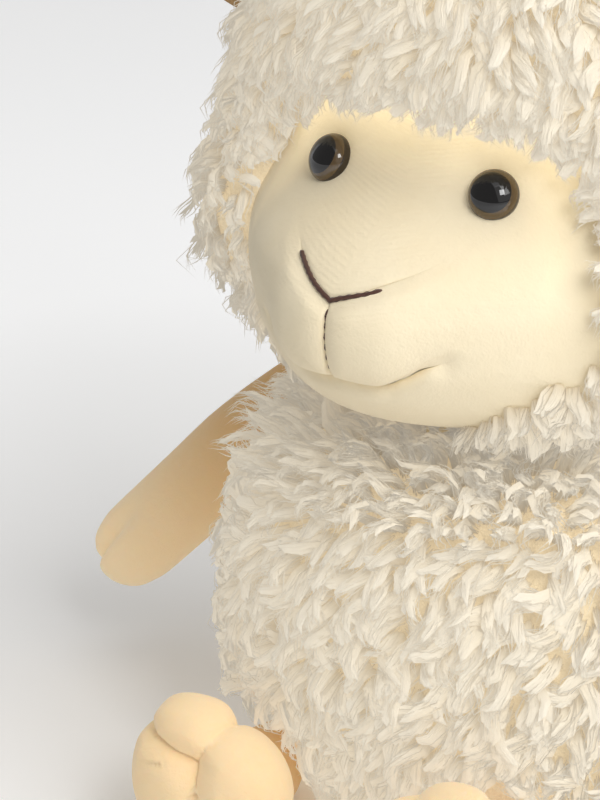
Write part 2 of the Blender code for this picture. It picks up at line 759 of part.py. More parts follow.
def build_leg(word, side, body, cloth, fill, brown):
    """Both legs turn the same way from straight ahead, as the sheep sits in the photograph."""
    height = LEG_RADIUS - FLAT_DEPTH
    half_width, half_depth = body_half_sizes(height)
    front = half_depth * math.sqrt(1 - (HIP_HALF_WIDTH / half_width) ** 2)
    pivot = Vector((side * HIP_HALF_WIDTH, HIP_INSET - front, height))
    heading = LEG_TURN_DEGREES - 90
    place = limb_matrix(pivot, heading, 0)
    floor = box(f"floor_{word}", cloth)
    skin = limb_skin(f"leg_skin_{word}", leg_rings, cloth)
    skin.matrix_world = place
    cut(skin, floor)
    limb_fill(f"leg_stuffing_{word}", leg_rings, fill).matrix_world = place
    drops = (-LEG_RAISE_DEGREES, 0, LEG_LOWER_DEGREES)
    places = [limb_matrix(pivot, heading, drop) for drop in drops]
    make_room(body, f"leg_hollow_{word}", leg_rings, places, cloth)

    rings, tip = leg_rings(0)
    thread(f"foot_stitch_{word}", over_the_tip(rings[-2:], tip, 1), brown).matrix_world = place


def box(name, made_of):
    """The surface that the sheep sits on, as a block that cuts the lowest skin flat."""
    reach = BODY_HALF_WIDTH + BODY_HALF_DEPTH + LEG_LENGTH
    build = bmesh.new()
    bmesh.ops.create_cube(build, size=1)
    bmesh.ops.scale(build, vec=(2 * reach, 2 * reach, OVERRUN), verts=build.verts)
    mesh = bpy.data.meshes.new(name)
    build.to_mesh(mesh)
    build.free()
    mesh.materials.append(made_of)
    obj = bpy.data.objects.new(name, mesh)
    obj.location = (0, 0, -OVERRUN / 2)
    bpy.context.scene.collection.objects.link(obj)
    return cutter(obj)


# Tail

def tail_rings(inset):
    usable = TAIL_LENGTH - inset
    stations = root_stations(TAIL_ROOT_RADIUS - inset)
    stations += [(share * usable, girth * TAIL_RADIUS - inset) for share, girth in TAIL_PROFILE_SHARES]
    rings = [round_ring(along, radius, radius, 0) for along, radius in stations]
    return rings, Vector((usable, 0, 0))


def build_tail(body, wool):
    _, half_depth = body_half_sizes(TAIL_HEIGHT)
    pivot = Vector((0, half_depth, TAIL_HEIGHT))
    drops = (0, -TAIL_LIFT_DEGREES, TAIL_LOWER_DEGREES)
    places = [limb_matrix(pivot, 90, TAIL_DROP_DEGREES + drop) for drop in drops]
    rings, tip = tail_rings(0)
    start = Vector((-TAIL_ROOT_RADIUS, 0, 0))
    closed_form("tail_wool", rings, start, tip, wool).matrix_world = places[0]
    make_room(body, "tail_hollow", tail_rings, places, wool)


# Ears, each in its own frame: the sewn root along Y, the leaf along +X, its lining towards +Z

def ear_leaf(name, low, high, start, made_of):
    stations = EAR_OUTLINE_SHARES
    right = [(start + share * (EAR_LENGTH - start), girth * EAR_WIDTH / 2) for share, girth in stations]
    outline = [*right, (EAR_LENGTH, 0), *[(x, -y) for x, y in reversed(right)]]
    count = len(outline)
    points = [(x, y, level) for level in (low, high) for x, y in outline]
    faces = [tuple(range(count)), tuple(range(count, 2 * count))]
    faces += strip(0, count, count)
    return new_object(name, points, faces, made_of)


def ear_root(name, radius, half_length, made_of):
    """A sewn roll along Y."""
    turn = np.arange(LIMB_SIDES) * math.tau / LIMB_SIDES
    rings = []
    for along in (-half_length, half_length):
        level = np.full(LIMB_SIDES, along)
        rings.append(np.stack([radius * np.cos(turn), level, radius * np.sin(turn)], axis=1))
    ends = [Vector((0, -half_length, 0)), Vector((0, half_length, 0))]
    return closed_form(name, rings, *ends, made_of)


def ear_place(side):
    """The ear's root lies in the wool, and its leaf rises to the side."""
    turn = np.array([math.radians(EAR_TURN_DEGREES)])
    share = np.array([EAR_HEIGHT_SHARE])
    normal = head_normals(turn, share)[0]
    at = head_points(turn, share)[0] + normal * HOOD_PILE
    rise = math.radians(EAR_RISE_DEGREES)
    out = Vector((math.cos(rise), 0, math.sin(rise)))
    front = Vector((0, -1, 0))
    width = front.cross(out)
    frame = Matrix((out, width, front)).transposed().to_4x4()
    frame.translation = Vector(at)
    if side > 0:
        return frame
    return Matrix.Diagonal((-1, 1, 1, 1)) @ frame


def build_ear(word, side, hood, cloth, lining):
    place = ear_place(side)
    half = EAR_ROOT_WIDTH / 2
    back = ear_root(f"ear_back_{word}", EAR_ROOT_RADIUS, half, cloth)
    leaf = ear_leaf(f"ear_leaf_{word}", -CLOTH - GAP / 2, -GAP / 2, 0, cloth)
    join = back.modifiers.new("leaf on its root", "BOOLEAN")
    join.operation = "UNION"
    join.object = cutter(leaf)
    clear = EAR_ROOT_RADIUS + GAP
    front = ear_leaf(f"ear_lining_{word}", GAP / 2, GAP / 2 + CLOTH, clear, lining)
    groove = cutter(ear_root(f"ear_groove_{word}", clear, half + GAP, cloth))
    for obj in (back, leaf, front, groove):
        obj.matrix_world = place
    cut(hood, groove)


def main():
    clear_scene()
    wool = material("curly wool plush", WOOL, 0.95)
    cloth = material("cream velour", CREAM, 0.9)
    fill = material("white stuffing", FILL, 1.0)
    bag = material("pellet bag cloth", BAG_GREY, 0.9)
    tan = material("tan velour", TAN, 0.9)
    brown = material("brown thread", THREAD_BROWN, 0.7)
    eye = material("brown eye plastic", EYE_BROWN, 0.08)
    plastic = material("white washer plastic", WASHER_WHITE, 0.5)

    body = build_body(wool, fill, bag)
    build_neck(cloth)
    hood = build_hood(wool)
    bridge = build_face(cloth)
    filling = build_head_stuffing(fill)
    flats = math.cos(math.pi / ROUND_SIDES) ** 2
    socket = ball("neck_socket", (neck_ball_radius() + GAP) / flats, (0, 0, neck_pivot_height()), fill)
    cut(filling, cutter(socket))
    build_embroidery(brown)
    build_tail(body, wool)
    for word, side in (("left", 1), ("right", -1)):
        build_eye(word, side, bridge, filling, eye, plastic)
        build_ear(word, side, hood, cloth, tan)
        build_arm(word, side, body, cloth, fill, brown)
        build_leg(word, side, body, cloth, fill, brown)


main()
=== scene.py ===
"""Looks of the sitting plush sheep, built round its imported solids. Metres, +Z up, the face towards -Y.

Every new piece is a surface worked out with numpy in the solids' own frame: the four face panels and
their threads, the eyes, arms, legs and ears, and the fleece, which is a skin with thousands of locks.
"""

import math

import bpy
import numpy as np
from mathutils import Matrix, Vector


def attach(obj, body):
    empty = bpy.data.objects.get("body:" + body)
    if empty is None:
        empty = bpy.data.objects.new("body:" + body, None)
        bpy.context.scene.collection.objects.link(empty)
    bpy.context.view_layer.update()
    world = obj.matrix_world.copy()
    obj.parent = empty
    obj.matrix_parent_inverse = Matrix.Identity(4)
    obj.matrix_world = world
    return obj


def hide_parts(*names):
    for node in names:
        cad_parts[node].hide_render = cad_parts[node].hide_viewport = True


TAU = math.tau
RADIAN_DEGREES = 57.3

# Sizes shared with the solids, in metres
BODY_HEIGHT = 0.112
BODY_HALF_WIDTH = 0.073
BODY_HALF_DEPTH = 0.066
HEAD_BASE = 0.120
HEAD_HEIGHT = 0.130
HEAD_HALF_WIDTH = 0.066
MUZZLE_REACH = 0.0705
HEAD_BACK_REACH = 0.054
HOOD_PILE = 0.016
CLOTH = 0.0012
SHOULDER = (0.059908, 0.0, 0.102)
ARM_LENGTH = 0.105
ARM_RADIUS = 0.0130
ARM_DROP_DEGREES = 45
HIP = (0.0386, -0.042881, 0.012)
LEG_LENGTH = 0.053
LEG_RADIUS = 0.0125
LEG_TURN_DEGREES = 9

# Girth of the body up its height
BODY_PROFILE = (
    (0.00, 0.62), (0.05, 0.77), (0.14, 0.88), (0.26, 0.95), (0.38, 0.988), (0.50, 1.00),
    (0.62, 0.988), (0.74, 0.95), (0.83, 0.89), (0.90, 0.81), (0.95, 0.71), (0.985, 0.58),
    (1.00, 0.44),
)

# Height share, half width, reach of the face, reach of the back, how far the front is drawn in
HEAD_SECTIONS = (
    (0.000, 0.432, 0.404, 0.528, 0.00),
    (0.012, 0.620, 0.660, 0.690, 0.05),
    (0.046, 0.788, 0.800, 0.810, 0.15),
    (0.108, 0.900, 0.915, 0.890, 0.24),
    (0.185, 0.962, 0.986, 0.954, 0.27),
    (0.260, 0.991, 1.000, 0.985, 0.27),
    (0.310, 1.000, 0.973, 0.996, 0.27),
    (0.345, 1.000, 0.915, 1.000, 0.27),
    (0.385, 0.997, 0.810, 1.000, 0.26),
    (0.430, 0.991, 0.680, 0.996, 0.25),
    (0.480, 0.982, 0.570, 0.990, 0.23),
    (0.550, 0.955, 0.510, 0.972, 0.19),
    (0.640, 0.900, 0.480, 0.917, 0.12),
    (0.740, 0.803, 0.452, 0.824, 0.05),
    (0.840, 0.659, 0.395, 0.676, 0.00),
    (0.930, 0.455, 0.290, 0.463, 0.00),
    (0.980, 0.245, 0.160, 0.250, 0.00),
    (1.000, 0.000, 0.000, 0.000, 0.00),
)

# Seams of the face: degrees from the front, and the share of the head's height
HOOD_EDGE = (
    (0, 0.625), (20, 0.622), (35, 0.603), (48, 0.542), (57, 0.425), (63, 0.300),
    (68, 0.170), (74, 0.060), (80, 0.000), (180, 0.000),
)
CHEEK_SEAM = ((0, 0.300), (15, 0.342), (24, 0.372), (33, 0.425), (39, 0.480), (45, 0.535), (48, 0.562))
MOUTH_SEAM = (
    (0, 0.129), (14, 0.122), (22, 0.146), (30, 0.186), (36, 0.200), (49, 0.150),
    (62, 0.100), (72, 0.070),
)

# How far the pile stands out up the head, and where it flares beside the face
HOOD_PILE_UP = ((0.00, 0.08), (0.05, 0.45), (0.15, 0.90), (0.25, 1.00), (1.00, 1.00))
FLARE_DEGREES = 64
FLARE_WIDTH_DEGREES = 16
FLARE_SHARE = 0.14
RIM_RADIUS = 0.0100

# Photograph's camera
AZIMUTH_DEGREES = 38
ELEVATION_DEGREES = 21
CAMERA_DISTANCE = 0.900
CAMERA_LENS = 152.7
CAMERA_TARGET = (-0.0394, -0.0308, 0.1120)


def read_table(rows, at, column=1):
    """Monotone cubic through a table: Hermite pieces whose slopes are harmonic means."""
    x = np.array([row[0] for row in rows], float)
    y = np.array([row[column] for row in rows], float)
    slope = np.diff(y) / np.diff(x)
    before = slope[:-1]
    after = slope[1:]
    inner = np.where(before * after > 0, 2 * before * after / (before + after + 1e-12), 0)
    tangent = np.concatenate([slope[:1], inner, slope[-1:]])
    at = np.clip(np.asarray(at, float), x[0], x[-1])
    k = np.clip(np.searchsorted(x, at, side="right") - 1, 0, len(x) - 2)
    width = x[k + 1] - x[k]
    t = (at - x[k]) / width
    start = (1 + 2 * t) * (1 - t) ** 2 * y[k] + t * (1 - t) ** 2 * width * tangent[k]
    end = t * t * (3 - 2 * t) * y[k + 1] + t * t * (t - 1) * width * tangent[k + 1]
    return start + end


def unit(vectors):
    return vectors / np.maximum(np.linalg.norm(vectors, axis=-1, keepdims=True), 1e-12)


def smooth_step(low, high, at):
    t = np.clip((at - low) / (high - low), 0, 1)
    return t * t * (3 - 2 * t)


def eased(count, power):
    """Shares from 0 to 1 that come closer together towards 1."""
    return 1 - (1 - np.linspace(0, 1, count)) ** power


def bunched(count):
    """Shares from 0 to 1 that come closer together at both ends."""
    return (1 - np.cos(np.linspace(0, math.pi, count))) / 2


def bearings(count):
    """Angles evenly round a circle, from 0."""
    return np.arange(count) * TAU / count


def turns_round(count):
    """Turns evenly round the upright axis, from the back."""
    return np.linspace(-math.pi, math.pi, count + 1)[:-1]


def run_along(line):
    """Length of a line up to each of its points."""
    return np.concatenate([[0], np.cumsum(np.linalg.norm(np.diff(line, axis=0), axis=1))])


def angle_off(angles, middle):
    """Angle from a bearing to others, the short way round."""
    return np.angle(np.exp(1j * (angles - middle)))


def off_front(turn):
    """Degrees of a turn to either side of the front, for turns within half a circle."""
    return np.abs(np.degrees(turn))


# Meshes

def make_piece(name, points, faces, paint, attributes=None):
    """A mesh object from points and lists of face corners, one array for each number of corners."""
    points = np.asarray(points, float).reshape(-1, 3)
    volume = 0
    for corners in faces:
        for k in range(1, corners.shape[1] - 1):
            a, b, c = points[corners[:, 0]], points[corners[:, k]], points[corners[:, k + 1]]
            volume += np.einsum("ij,ij->i", a, np.cross(b, c)).sum()
    if volume < 0:
        faces = [corners[:, ::-1] for corners in faces]
    mesh = bpy.data.meshes.new(name)
    loops = np.concatenate([corners.reshape(-1) for corners in faces]).astype(np.int32)
    sizes = np.concatenate([np.full(len(corners), corners.shape[1]) for corners in faces])
    starts = np.concatenate([[0], np.cumsum(sizes)[:-1]]).astype(np.int32)
    mesh.vertices.add(len(points))
    mesh.vertices.foreach_set("co", points.astype(np.float32).reshape(-1))
    mesh.loops.add(len(loops))
    mesh.loops.foreach_set("vertex_index", loops)
    mesh.polygons.add(len(sizes))
    mesh.polygons.foreach_set("loop_start", starts)
    mesh.polygons.foreach_set("loop_total", sizes.astype(np.int32))
    for key, values in (attributes or {}).items():
        layer = mesh.attributes.new(key, "FLOAT", "POINT")
        layer.data.foreach_set("value", np.asarray(values, np.float32).reshape(-1))
    mesh.update(calc_edges=True)
    mesh.shade_smooth()
    mesh.materials.append(paint)
    obj = bpy.data.objects.new(name, mesh)
    bpy.context.scene.collection.objects.link(obj)
    return obj


def grid_faces(rows, columns, base=0, wrap=False):
    """Quads of a grid of points, which may close on itself across its columns."""
    i = np.arange(rows - 1)[:, None]
    j = np.arange(columns if wrap else columns - 1)[None, :]
    k = (j + 1) % columns
    quads = [i * columns + j, i * columns + k, (i + 1) * columns + k, (i + 1) * columns + j]
    return np.stack([quad + 0 * i * j for quad in quads], axis=-1).reshape(-1, 4) + base


def fan_faces(pole, ring, count):
    i = np.arange(count)
    return np.stack([np.full(count, pole), ring + i, ring + (i + 1) % count], axis=1)


def closed_tube(name, rings, start, end, paint, attributes=None):
    """Rings of points joined in a row, and closed by a point at each end."""
    rows, columns = rings.shape[:2]
    points = np.concatenate([rings.reshape(-1, 3), [start, end]])
    count = rows * columns
    faces = [
        grid_faces(rows, columns, wrap=True),
        fan_faces(count, 0, columns)[:, ::-1],
        fan_faces(count + 1, count - columns, columns),
    ]
    return make_piece(name, points, faces, paint, attributes)


def grid_normals(points, wrap=False):
    """Normals of a grid from its slopes along both of its directions."""
    if wrap:
        points = np.concatenate([points[:, -1:], points, points[:, :1]], axis=1)
    normal = unit(np.cross(np.gradient(points, axis=0), np.gradient(points, axis=1)))
    return normal[:, 1:-1] if wrap else normal


def closed_sheet(name, outer, inner, paint, attributes=None, normals=None):
    """Two grids of points, one the back of the other, joined round their edges."""
    rows, columns = outer.shape[:2]
    count = rows * columns
    points = np.concatenate([outer.reshape(-1, 3), inner.reshape(-1, 3)])
    edge = np.concatenate([
        np.arange(columns),
        np.arange(1, rows) * columns + columns - 1,
        (rows - 1) * columns + np.arange(columns - 2, -1, -1),
        np.arange(rows - 2, 0, -1) * columns,
    ])
    following = np.roll(edge, -1)
    rim = np.stack([following, edge, edge + count, following + count], axis=1)
    front = grid_faces(rows, columns)
    back = grid_faces(rows, columns, count)[:, ::-1]
    piece = make_piece(name, points, [np.concatenate([front, back, rim])], paint, attributes)
    if normals is not None:
        both = np.concatenate([normals.reshape(-1, 3), -normals.reshape(-1, 3)])
        piece.data.normals_split_custom_set_from_vertices(both)
    return piece


# Head

def head_points(turn, share):
    """Ellipse-like sections: x follows the sine and y the cosine of the turn, by the sections' sizes."""
    width = read_table(HEAD_SECTIONS, share, 1) * HEAD_HALF_WIDTH
    front = read_table(HEAD_SECTIONS, share, 2) * MUZZLE_REACH
    back = read_table(HEAD_SECTIONS, share, 3) * HEAD_BACK_REACH
    drawn_in = read_table(HEAD_SECTIONS, share, 4)
    ahead = np.maximum(np.cos(turn), 0)
    side = np.sin(turn) * (1 - drawn_in * ahead ** 2)
    reach = np.where(ahead > 0, front, back)
    height = HEAD_BASE + share * HEAD_HEIGHT
    return np.stack([width * side, -reach * np.cos(turn), height + 0 * turn], axis=-1)


def surface_frame(surface, turn, share, step=1e-3):
    """Outward normal and downhill direction of a surface, from its slopes across and up."""
    across = surface(turn + step, share) - surface(turn - step, share)
    low = np.clip(share - step, 0, 1 - 2 * step)
    upward = surface(turn, low + 2 * step) - surface(turn, low)
    normal = unit(np.cross(across, upward))
    downhill = -upward + normal * np.sum(upward * normal, axis=-1, keepdims=True)
    return normal, unit(downhill)


def hood_edge(turn):
    degrees = np.abs((np.degrees(turn) + 180) % 360 - 180)
    return read_table(HOOD_EDGE, degrees)


def rim_stretch(turn):
    """How much further a place lies from the rim up the head than straight across to it."""
    step = 0.01
    slope = (hood_edge(turn + step) - hood_edge(turn - step)) / (2 * step)
    return np.hypot(1, slope * HEAD_HEIGHT / HEAD_HALF_WIDTH)


def behind_rim(turn, share):
    return (share - hood_edge(turn)) * HEAD_HEIGHT / rim_stretch(turn)


def hood_surface(lift):
    """The head's surface moved out by this share of the pile.

    The pile flares beside the face, and rounds in to nothing at the rim.
    """
    def surface(turn, share):
        degrees = np.abs((np.degrees(turn) + 180) % 360 - 180)
        flare = np.exp(-(((degrees - FLARE_DEGREES) / FLARE_WIDTH_DEGREES) ** 2))
        flare *= smooth_step(0.75, 0.55, share)
        pile = read_table(HOOD_PILE_UP, share) * HOOD_PILE * (1 + FLARE_SHARE * flare)
        rounding = 1 - (1 - np.clip(behind_rim(turn, share) / RIM_RADIUS, 0, 1)) ** 2
        normal, _ = surface_frame(head_points, turn, share)
        return head_points(turn, share) + normal * (pile * lift * rounding)[..., None]
    return surface


def seam_at(seam, turn):
    return read_table(seam, off_front(turn))


def body_surface(inset):
    """Oval sections whose girth follows the body's profile, moved in by this much."""
    def surface(turn, share):
        girth = read_table(BODY_PROFILE, share)
        x = (girth * BODY_HALF_WIDTH - inset) * np.sin(turn)
        y = -(girth * BODY_HALF_DEPTH - inset) * np.cos(turn)
        z = inset + share * (BODY_HEIGHT - 2 * inset)
        return np.stack([x, y, z + 0 * turn], axis=-1)
    return surface


# Face panels

SEAM_HALF_GAP = 0.00012
# How far below the hood's rim the face's painted bounce light reaches
BOUNCE_REACH = 0.022
LEAST_HALF_GAP = 0.00001
PANEL_STEP_DEGREES = 0.7
BRIDGE_TO_DEGREES = 47.6
PANELS_TO_DEGREES = 75.6
UNDER_HOOD_SHARE = 0.03

# How far from a seam the cloth rolls down into it, and how deep it goes
UPPER_LIP_ROLL = (0.0105, 0.0036)
LOWER_LIP_ROLL = (0.0045, 0.0034)
LIP_SEAM_ROLL = (0.0075, 0.0026)
CHEEK_SEAM_ROLL = (0.0018, 0.0007)
MOUTH_CORNER = (32, 0.192)
DIMPLE_RADIUS = 0.0032
DIMPLE_DEPTH = 0.0012

# Puff of the muzzle on each side of the lip seam: degrees from the front, share of the head's height
PUFF_PLACE = (15, 0.215)
PUFF_RADIUS = 0.0150
PUFF_HEIGHT = 0.0034


def edge_roll(distance, radius, depth):
    """How far the cloth dips towards a seam: a quarter round of this radius, scaled to this depth."""
    t = np.clip(1 - distance / radius, 0, 1)
    return depth * (1 - np.sqrt(np.maximum(1 - t * t, 0)))


def cheek_seam_shows(turn):
    return smooth_step(25, 15, off_front(turn))


def mouth_seam_shows(turn):
    return smooth_step(MOUTH_CORNER[0] + 1, MOUTH_CORNER[0] - 7, off_front(turn))


def face_dip(turn, share):
    """How far the cloth lies below the head's own surface.

    It rolls into the mouth seam, the lip seam and the cheek seam, which fade where they end, and
    it is drawn into a dimple at each corner of the mouth.
    """
    above_mouth = (share - seam_at(MOUTH_SEAM, turn)) * HEAD_HEIGHT
    mouth = np.where(above_mouth > 0, edge_roll(above_mouth, *UPPER_LIP_ROLL),
                     edge_roll(-above_mouth, *LOWER_LIP_ROLL))
    mouth = mouth * mouth_seam_shows(turn)
    below_cheek = (seam_at(CHEEK_SEAM, turn) - share) * HEAD_HEIGHT
    lip = edge_roll(np.abs(head_points(turn, share)[..., 0]), *LIP_SEAM_ROLL)
    lip = lip * smooth_step(0, 0.006, below_cheek) * smooth_step(-0.002, 0, above_mouth)
    cheek = edge_roll(np.abs(below_cheek), *CHEEK_SEAM_ROLL) * cheek_seam_shows(turn)
    across = (off_front(turn) - MOUTH_CORNER[0]) / RADIAN_DEGREES * MUZZLE_REACH
    upward = (share - MOUTH_CORNER[1]) * HEAD_HEIGHT
    dimple = DIMPLE_DEPTH * np.exp(-(across ** 2 + upward ** 2) / DIMPLE_RADIUS ** 2)
    sideways = np.maximum(off_front(turn) - PUFF_PLACE[0], 0) / RADIAN_DEGREES * MUZZLE_REACH
    rise = (share - PUFF_PLACE[1]) * HEAD_HEIGHT
    puff = PUFF_HEIGHT * np.exp(-(sideways ** 2 + rise ** 2) / PUFF_RADIUS ** 2)
    puff = puff * smooth_step(0, 0.005, below_cheek) * smooth_step(0, 0.004, above_mouth)
    dip = np.maximum(np.maximum(mouth, lip), cheek) + dimple * (1 - 0.7 * mouth_seam_shows(turn))
    return dip - puff


def face_panel(name, turns, low, high, paint, side=1, rows=80):
    """A panel of the head's surface between two seams, with its edges rolled into them."""
    share = low[:, None] + (high - low)[:, None] * bunched(rows)[None, :]
    turn = np.repeat(turns[:, None], rows, axis=1)
    points = head_points(turn, share)
    normal, _ = surface_frame(head_points, turn, share)
    dip = face_dip(turn, share)
    outer = points - normal * dip[..., None]
    inner = points - normal * (np.maximum(CLOTH, dip + CLOTH / 3))[..., None]
    shading = grid_normals(outer)
    if turns[0] == 0:
        outer[0, :, 0] = SEAM_HALF_GAP
        inner[0, :, 0] = SEAM_HALF_GAP
    for grid in (outer, inner, shading):
        grid[..., 0] *= side
    rib = (share - 0.5 * seam_at(CHEEK_SEAM, turn)) * HEAD_HEIGHT
    worn = smooth_step(34, 8, off_front(turn)) * smooth_step(0.24, 0.32, share)
    # Painted bounce light: the warm glow the face takes just below the hood's rim, within 55 degrees of the
    # front
    bounce = smooth_step(BOUNCE_REACH, 0.0, -behind_rim(turn, share))
    bounce = bounce * smooth_step(55, 40, off_front(turn))
    values = {"rib": rib, "worn": worn, "bounce": bounce}
    values = {key: np.tile(value.reshape(-1), 2) for key, value in values.items()}
    return closed_sheet(name, outer, inner, paint, values, shading)


def half_gap(shows):
    return (LEAST_HALF_GAP + (SEAM_HALF_GAP - LEAST_HALF_GAP) * shows) / HEAD_HEIGHT


def panel_turns(low, high):
    return np.radians(np.arange(low, high + PANEL_STEP_DEGREES / 2, PANEL_STEP_DEGREES))


def build_face(paint):
    turns = panel_turns(-BRIDGE_TO_DEGREES, BRIDGE_TO_DEGREES)
    low = seam_at(CHEEK_SEAM, turns) + half_gap(cheek_seam_shows(turns))
    high = hood_edge(turns) + UNDER_HOOD_SHARE
    bridge = face_panel("face_bridge_panel", turns, low, high, paint)
    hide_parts("face_bridge")
    pieces = [bridge]
    for word, side in (("left", 1), ("right", -1)):
        turns = panel_turns(0, PANELS_TO_DEGREES)
        low = seam_at(MOUTH_SEAM, turns) + half_gap(mouth_seam_shows(turns))
        beyond = smooth_step(BRIDGE_TO_DEGREES - PANEL_STEP_DEGREES, BRIDGE_TO_DEGREES, np.degrees(turns))
        cheek = seam_at(CHEEK_SEAM, turns) - half_gap(cheek_seam_shows(turns))
        high = cheek + (hood_edge(turns) + UNDER_HOOD_SHARE - cheek) * beyond
        high = np.minimum(high, hood_edge(turns) + UNDER_HOOD_SHARE)
        panel = face_panel(f"cheek_panel_{word}", turns, low, high, paint, side)
        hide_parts(f"cheek_{word}")
        pieces.append(panel)
    turns = panel_turns(-PANELS_TO_DEGREES, PANELS_TO_DEGREES)
    high = seam_at(MOUTH_SEAM, turns) - half_gap(mouth_seam_shows(turns))
    high = np.minimum(high, hood_edge(turns) + UNDER_HOOD_SHARE)
    chin = face_panel("chin_cloth_panel", turns, 0 * high + 0.001, high, paint)
    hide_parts("chin_panel")
    pieces.append(chin)
    for piece in pieces:
        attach(piece, "head")


# Wool

OWN_SHADING_SHARE = 0.35
NORMAL_SHADING_SHARE = 2.6


STRAND_EASING = 1.5
# Painted shade in the wool's glow under the chin and round the neck: its middle, reach, height and depth
NECK_SHADE = (-0.010, -0.020, 0.114)
NECK_SHADE_RADIUS = 0.050
NECK_SHADE_HEIGHT = 0.014
NECK_SHADE_DEPTH = 0.60
LEG_ROOM = {1: 0.0030, -1: 0.0080}
ARM_OVERLAP = 0.0020
MOST_TRIANGLES = 190000
LEAF_SIDES = 4
WISP_SIDES = 3
LEAVES = {
    "strands": 2, "steps": 4, "reach": (0.62, 0.92), "spread": 0.0012, "gather": 0.10,
    "stray": 0.0006, "wave": 1.1, "radius": 0.00150, "point": 0.36, "flat": 0.65, "flute": 0.15,
}
WISPS = {
    "strands": 13, "steps": 3, "reach": (0.62, 1.06), "spread": 0.0024, "gather": 0.12,
    "stray": 0.0010, "wave": 1.0, "radius": 0.00017, "point": 0.30, "flat": 1.0, "flute": 0.0,
}
HOOD_STYLE = {
    "length": 0.0160, "lean": (22, 132), "curl": 0.0021, "turns": 1.05, "twist": 1.6, "turn": 0.0,
    "swirl": 0.55, "swirl_size": 0.050, "scatter": 0.40,
    "leaves": LEAVES, "wisps": WISPS,
}
BODY_STYLE = {
    "length": 0.0165, "lean": (18, 138), "curl": 0.0026, "turns": 1.15, "twist": 1.8, "turn": -0.45,
    "swirl": 0.6, "swirl_size": 0.045, "scatter": 0.50,
    "leaves": LEAVES, "wisps": WISPS,
}
BODY_STYLE["short"] = {**BODY_STYLE, "length": 0.0085, "lean": (0, 60), "curl": 0.0010}
COLLAR_STYLE = {**BODY_STYLE, "length": 0.0185, "lean": (-8, 74), "turn": 0.0, "swirl": 0.5}
FRINGE_STYLE = {**HOOD_STYLE, "length": 0.0095, "lean": (20, 92), "swirl": 0.30, "scatter": 0.40}
JAW_STYLE = {**HOOD_STYLE, "length": 0.0105, "lean": (20, 105)}
WHISKER_STYLE = {**HOOD_STYLE, "length": 0.0150, "lean": (52, 108), "swirl": 0.3, "scatter": 0.3}
TAIL_STYLE = {
    **BODY_STYLE, "length": 0.0120, "lean": (24, 112), "turn": 0.0, "swirl": 0.3,
    "leaves": {**LEAVES, "radius": 0.0013, "spread": 0.0011},
}
HOOD_SKIN_SHARE = 0.60
HOOD_LOCK_SPACING = 0.0043
RIM_BAND = 0.0110
FRINGE_SPACING = 0.00075
JAW_SPACING = 0.0037
WHISKER_SPACING = 0.0036
BODY_SKIN_INSET = 0.0048
BODY_LOCK_SPACING = 0.0047
COLLAR_FROM_SHARE = 0.86
COLLAR_SPACING = 0.0040


def scattered(surface, low, high, spacing, seed):
    """Places on a surface in rows about this far apart, each moved by up to a third of that."""
    rng = np.random.default_rng(seed)
    steps = np.linspace(low, high, 400)
    meridian = surface(np.full(400, math.pi / 2), steps)
    run = run_along(meridian)
    rows = np.arange(spacing / 2, run[-1], spacing)
    turns, shares = [], []
    ring_turn = np.linspace(-math.pi, math.pi, 241)
    for k, row in enumerate(rows):
        share = np.interp(row, run, steps)
        ring = surface(ring_turn, np.full(241, share))
        length = run_along(ring)
        count = max(int(round(length[-1] / spacing)), 1)
        at = (np.arange(count) + (k % 2) / 2 + rng.uniform(-0.36, 0.36, count)) * length[-1] / count
        turns.append(np.interp(at % length[-1], length, ring_turn))
        moved = row + rng.uniform(-0.36, 0.36, count) * spacing
        shares.append(np.interp(moved, run, steps))
    return np.concatenate(turns), np.concatenate(shares)


def strand_points(strands, sides):
    """Points, shading directions and faces of tapered strands, from their centre lines.

    A strand's section is an oval of this many sides, wide across and flat along its up direction.
    Its shading leans towards the soft direction, so that a lock takes light as one tuft.
    """
    line, soft, radius = strands["line"], strands["soft"], strands["radius"]
    count, steps = line.shape[:2]
    angles = bearings(sides)
    flutes = 1 + strands["flute"] * np.cos(2 * angles[None, None, :] + strands["phase"][:, None, None])
    across = np.cos(angles)[None, None, :, None] * strands["side"][:, :, None, :]
    over = np.sin(angles)[None, None, :, None] * strands["up"][:, :, None, :]
    size = radius[:, :, None, None] * flutes[..., None]
    rings = line[:, :, None, :] + size * (across + strands["flat"] * over)
    rings = rings[:, :-1]
    own = unit(across + over / strands["flat"])[:, :-1]
    each = (steps - 1) * sides + 1
    points = np.concatenate([rings.reshape(count, -1, 3), line[:, -1:, :]], axis=1)
    shading = unit(own * OWN_SHADING_SHARE + soft[:, :-1, None, :])
    shading = np.concatenate([shading.reshape(count, -1, 3), soft[:, -1:, :]], axis=1)
    band = grid_faces(steps - 1, sides, wrap=True)
    tip = fan_faces(each - 1, each - 1 - sides, sides)
    base = fan_faces(0, 1, sides - 1)[:-1][:, ::-1]
    shift = (np.arange(count) * each)[:, None, None]
    quads = (band[None] + shift).reshape(-1, 4)
    triangles = (np.concatenate([tip, base])[None] + shift).reshape(-1, 3)
    along = np.concatenate([np.repeat(eased(steps, STRAND_EASING)[:-1], sides), [1.0]])
    values = {
        "along": np.tile(along, count),
        "tone": np.repeat(strands["tone"], each),
        "glow": np.repeat(strands["glow"], each),
        "fibre_x": np.tile(np.concatenate([np.tile(np.cos(angles), steps - 1), [0.0]]), count),
        "fibre_y": np.tile(np.concatenate([np.tile(np.sin(angles), steps - 1), [0.0]]), count),
    }
    return points.reshape(-1, 3), shading.reshape(-1, 3), quads, triangles, values


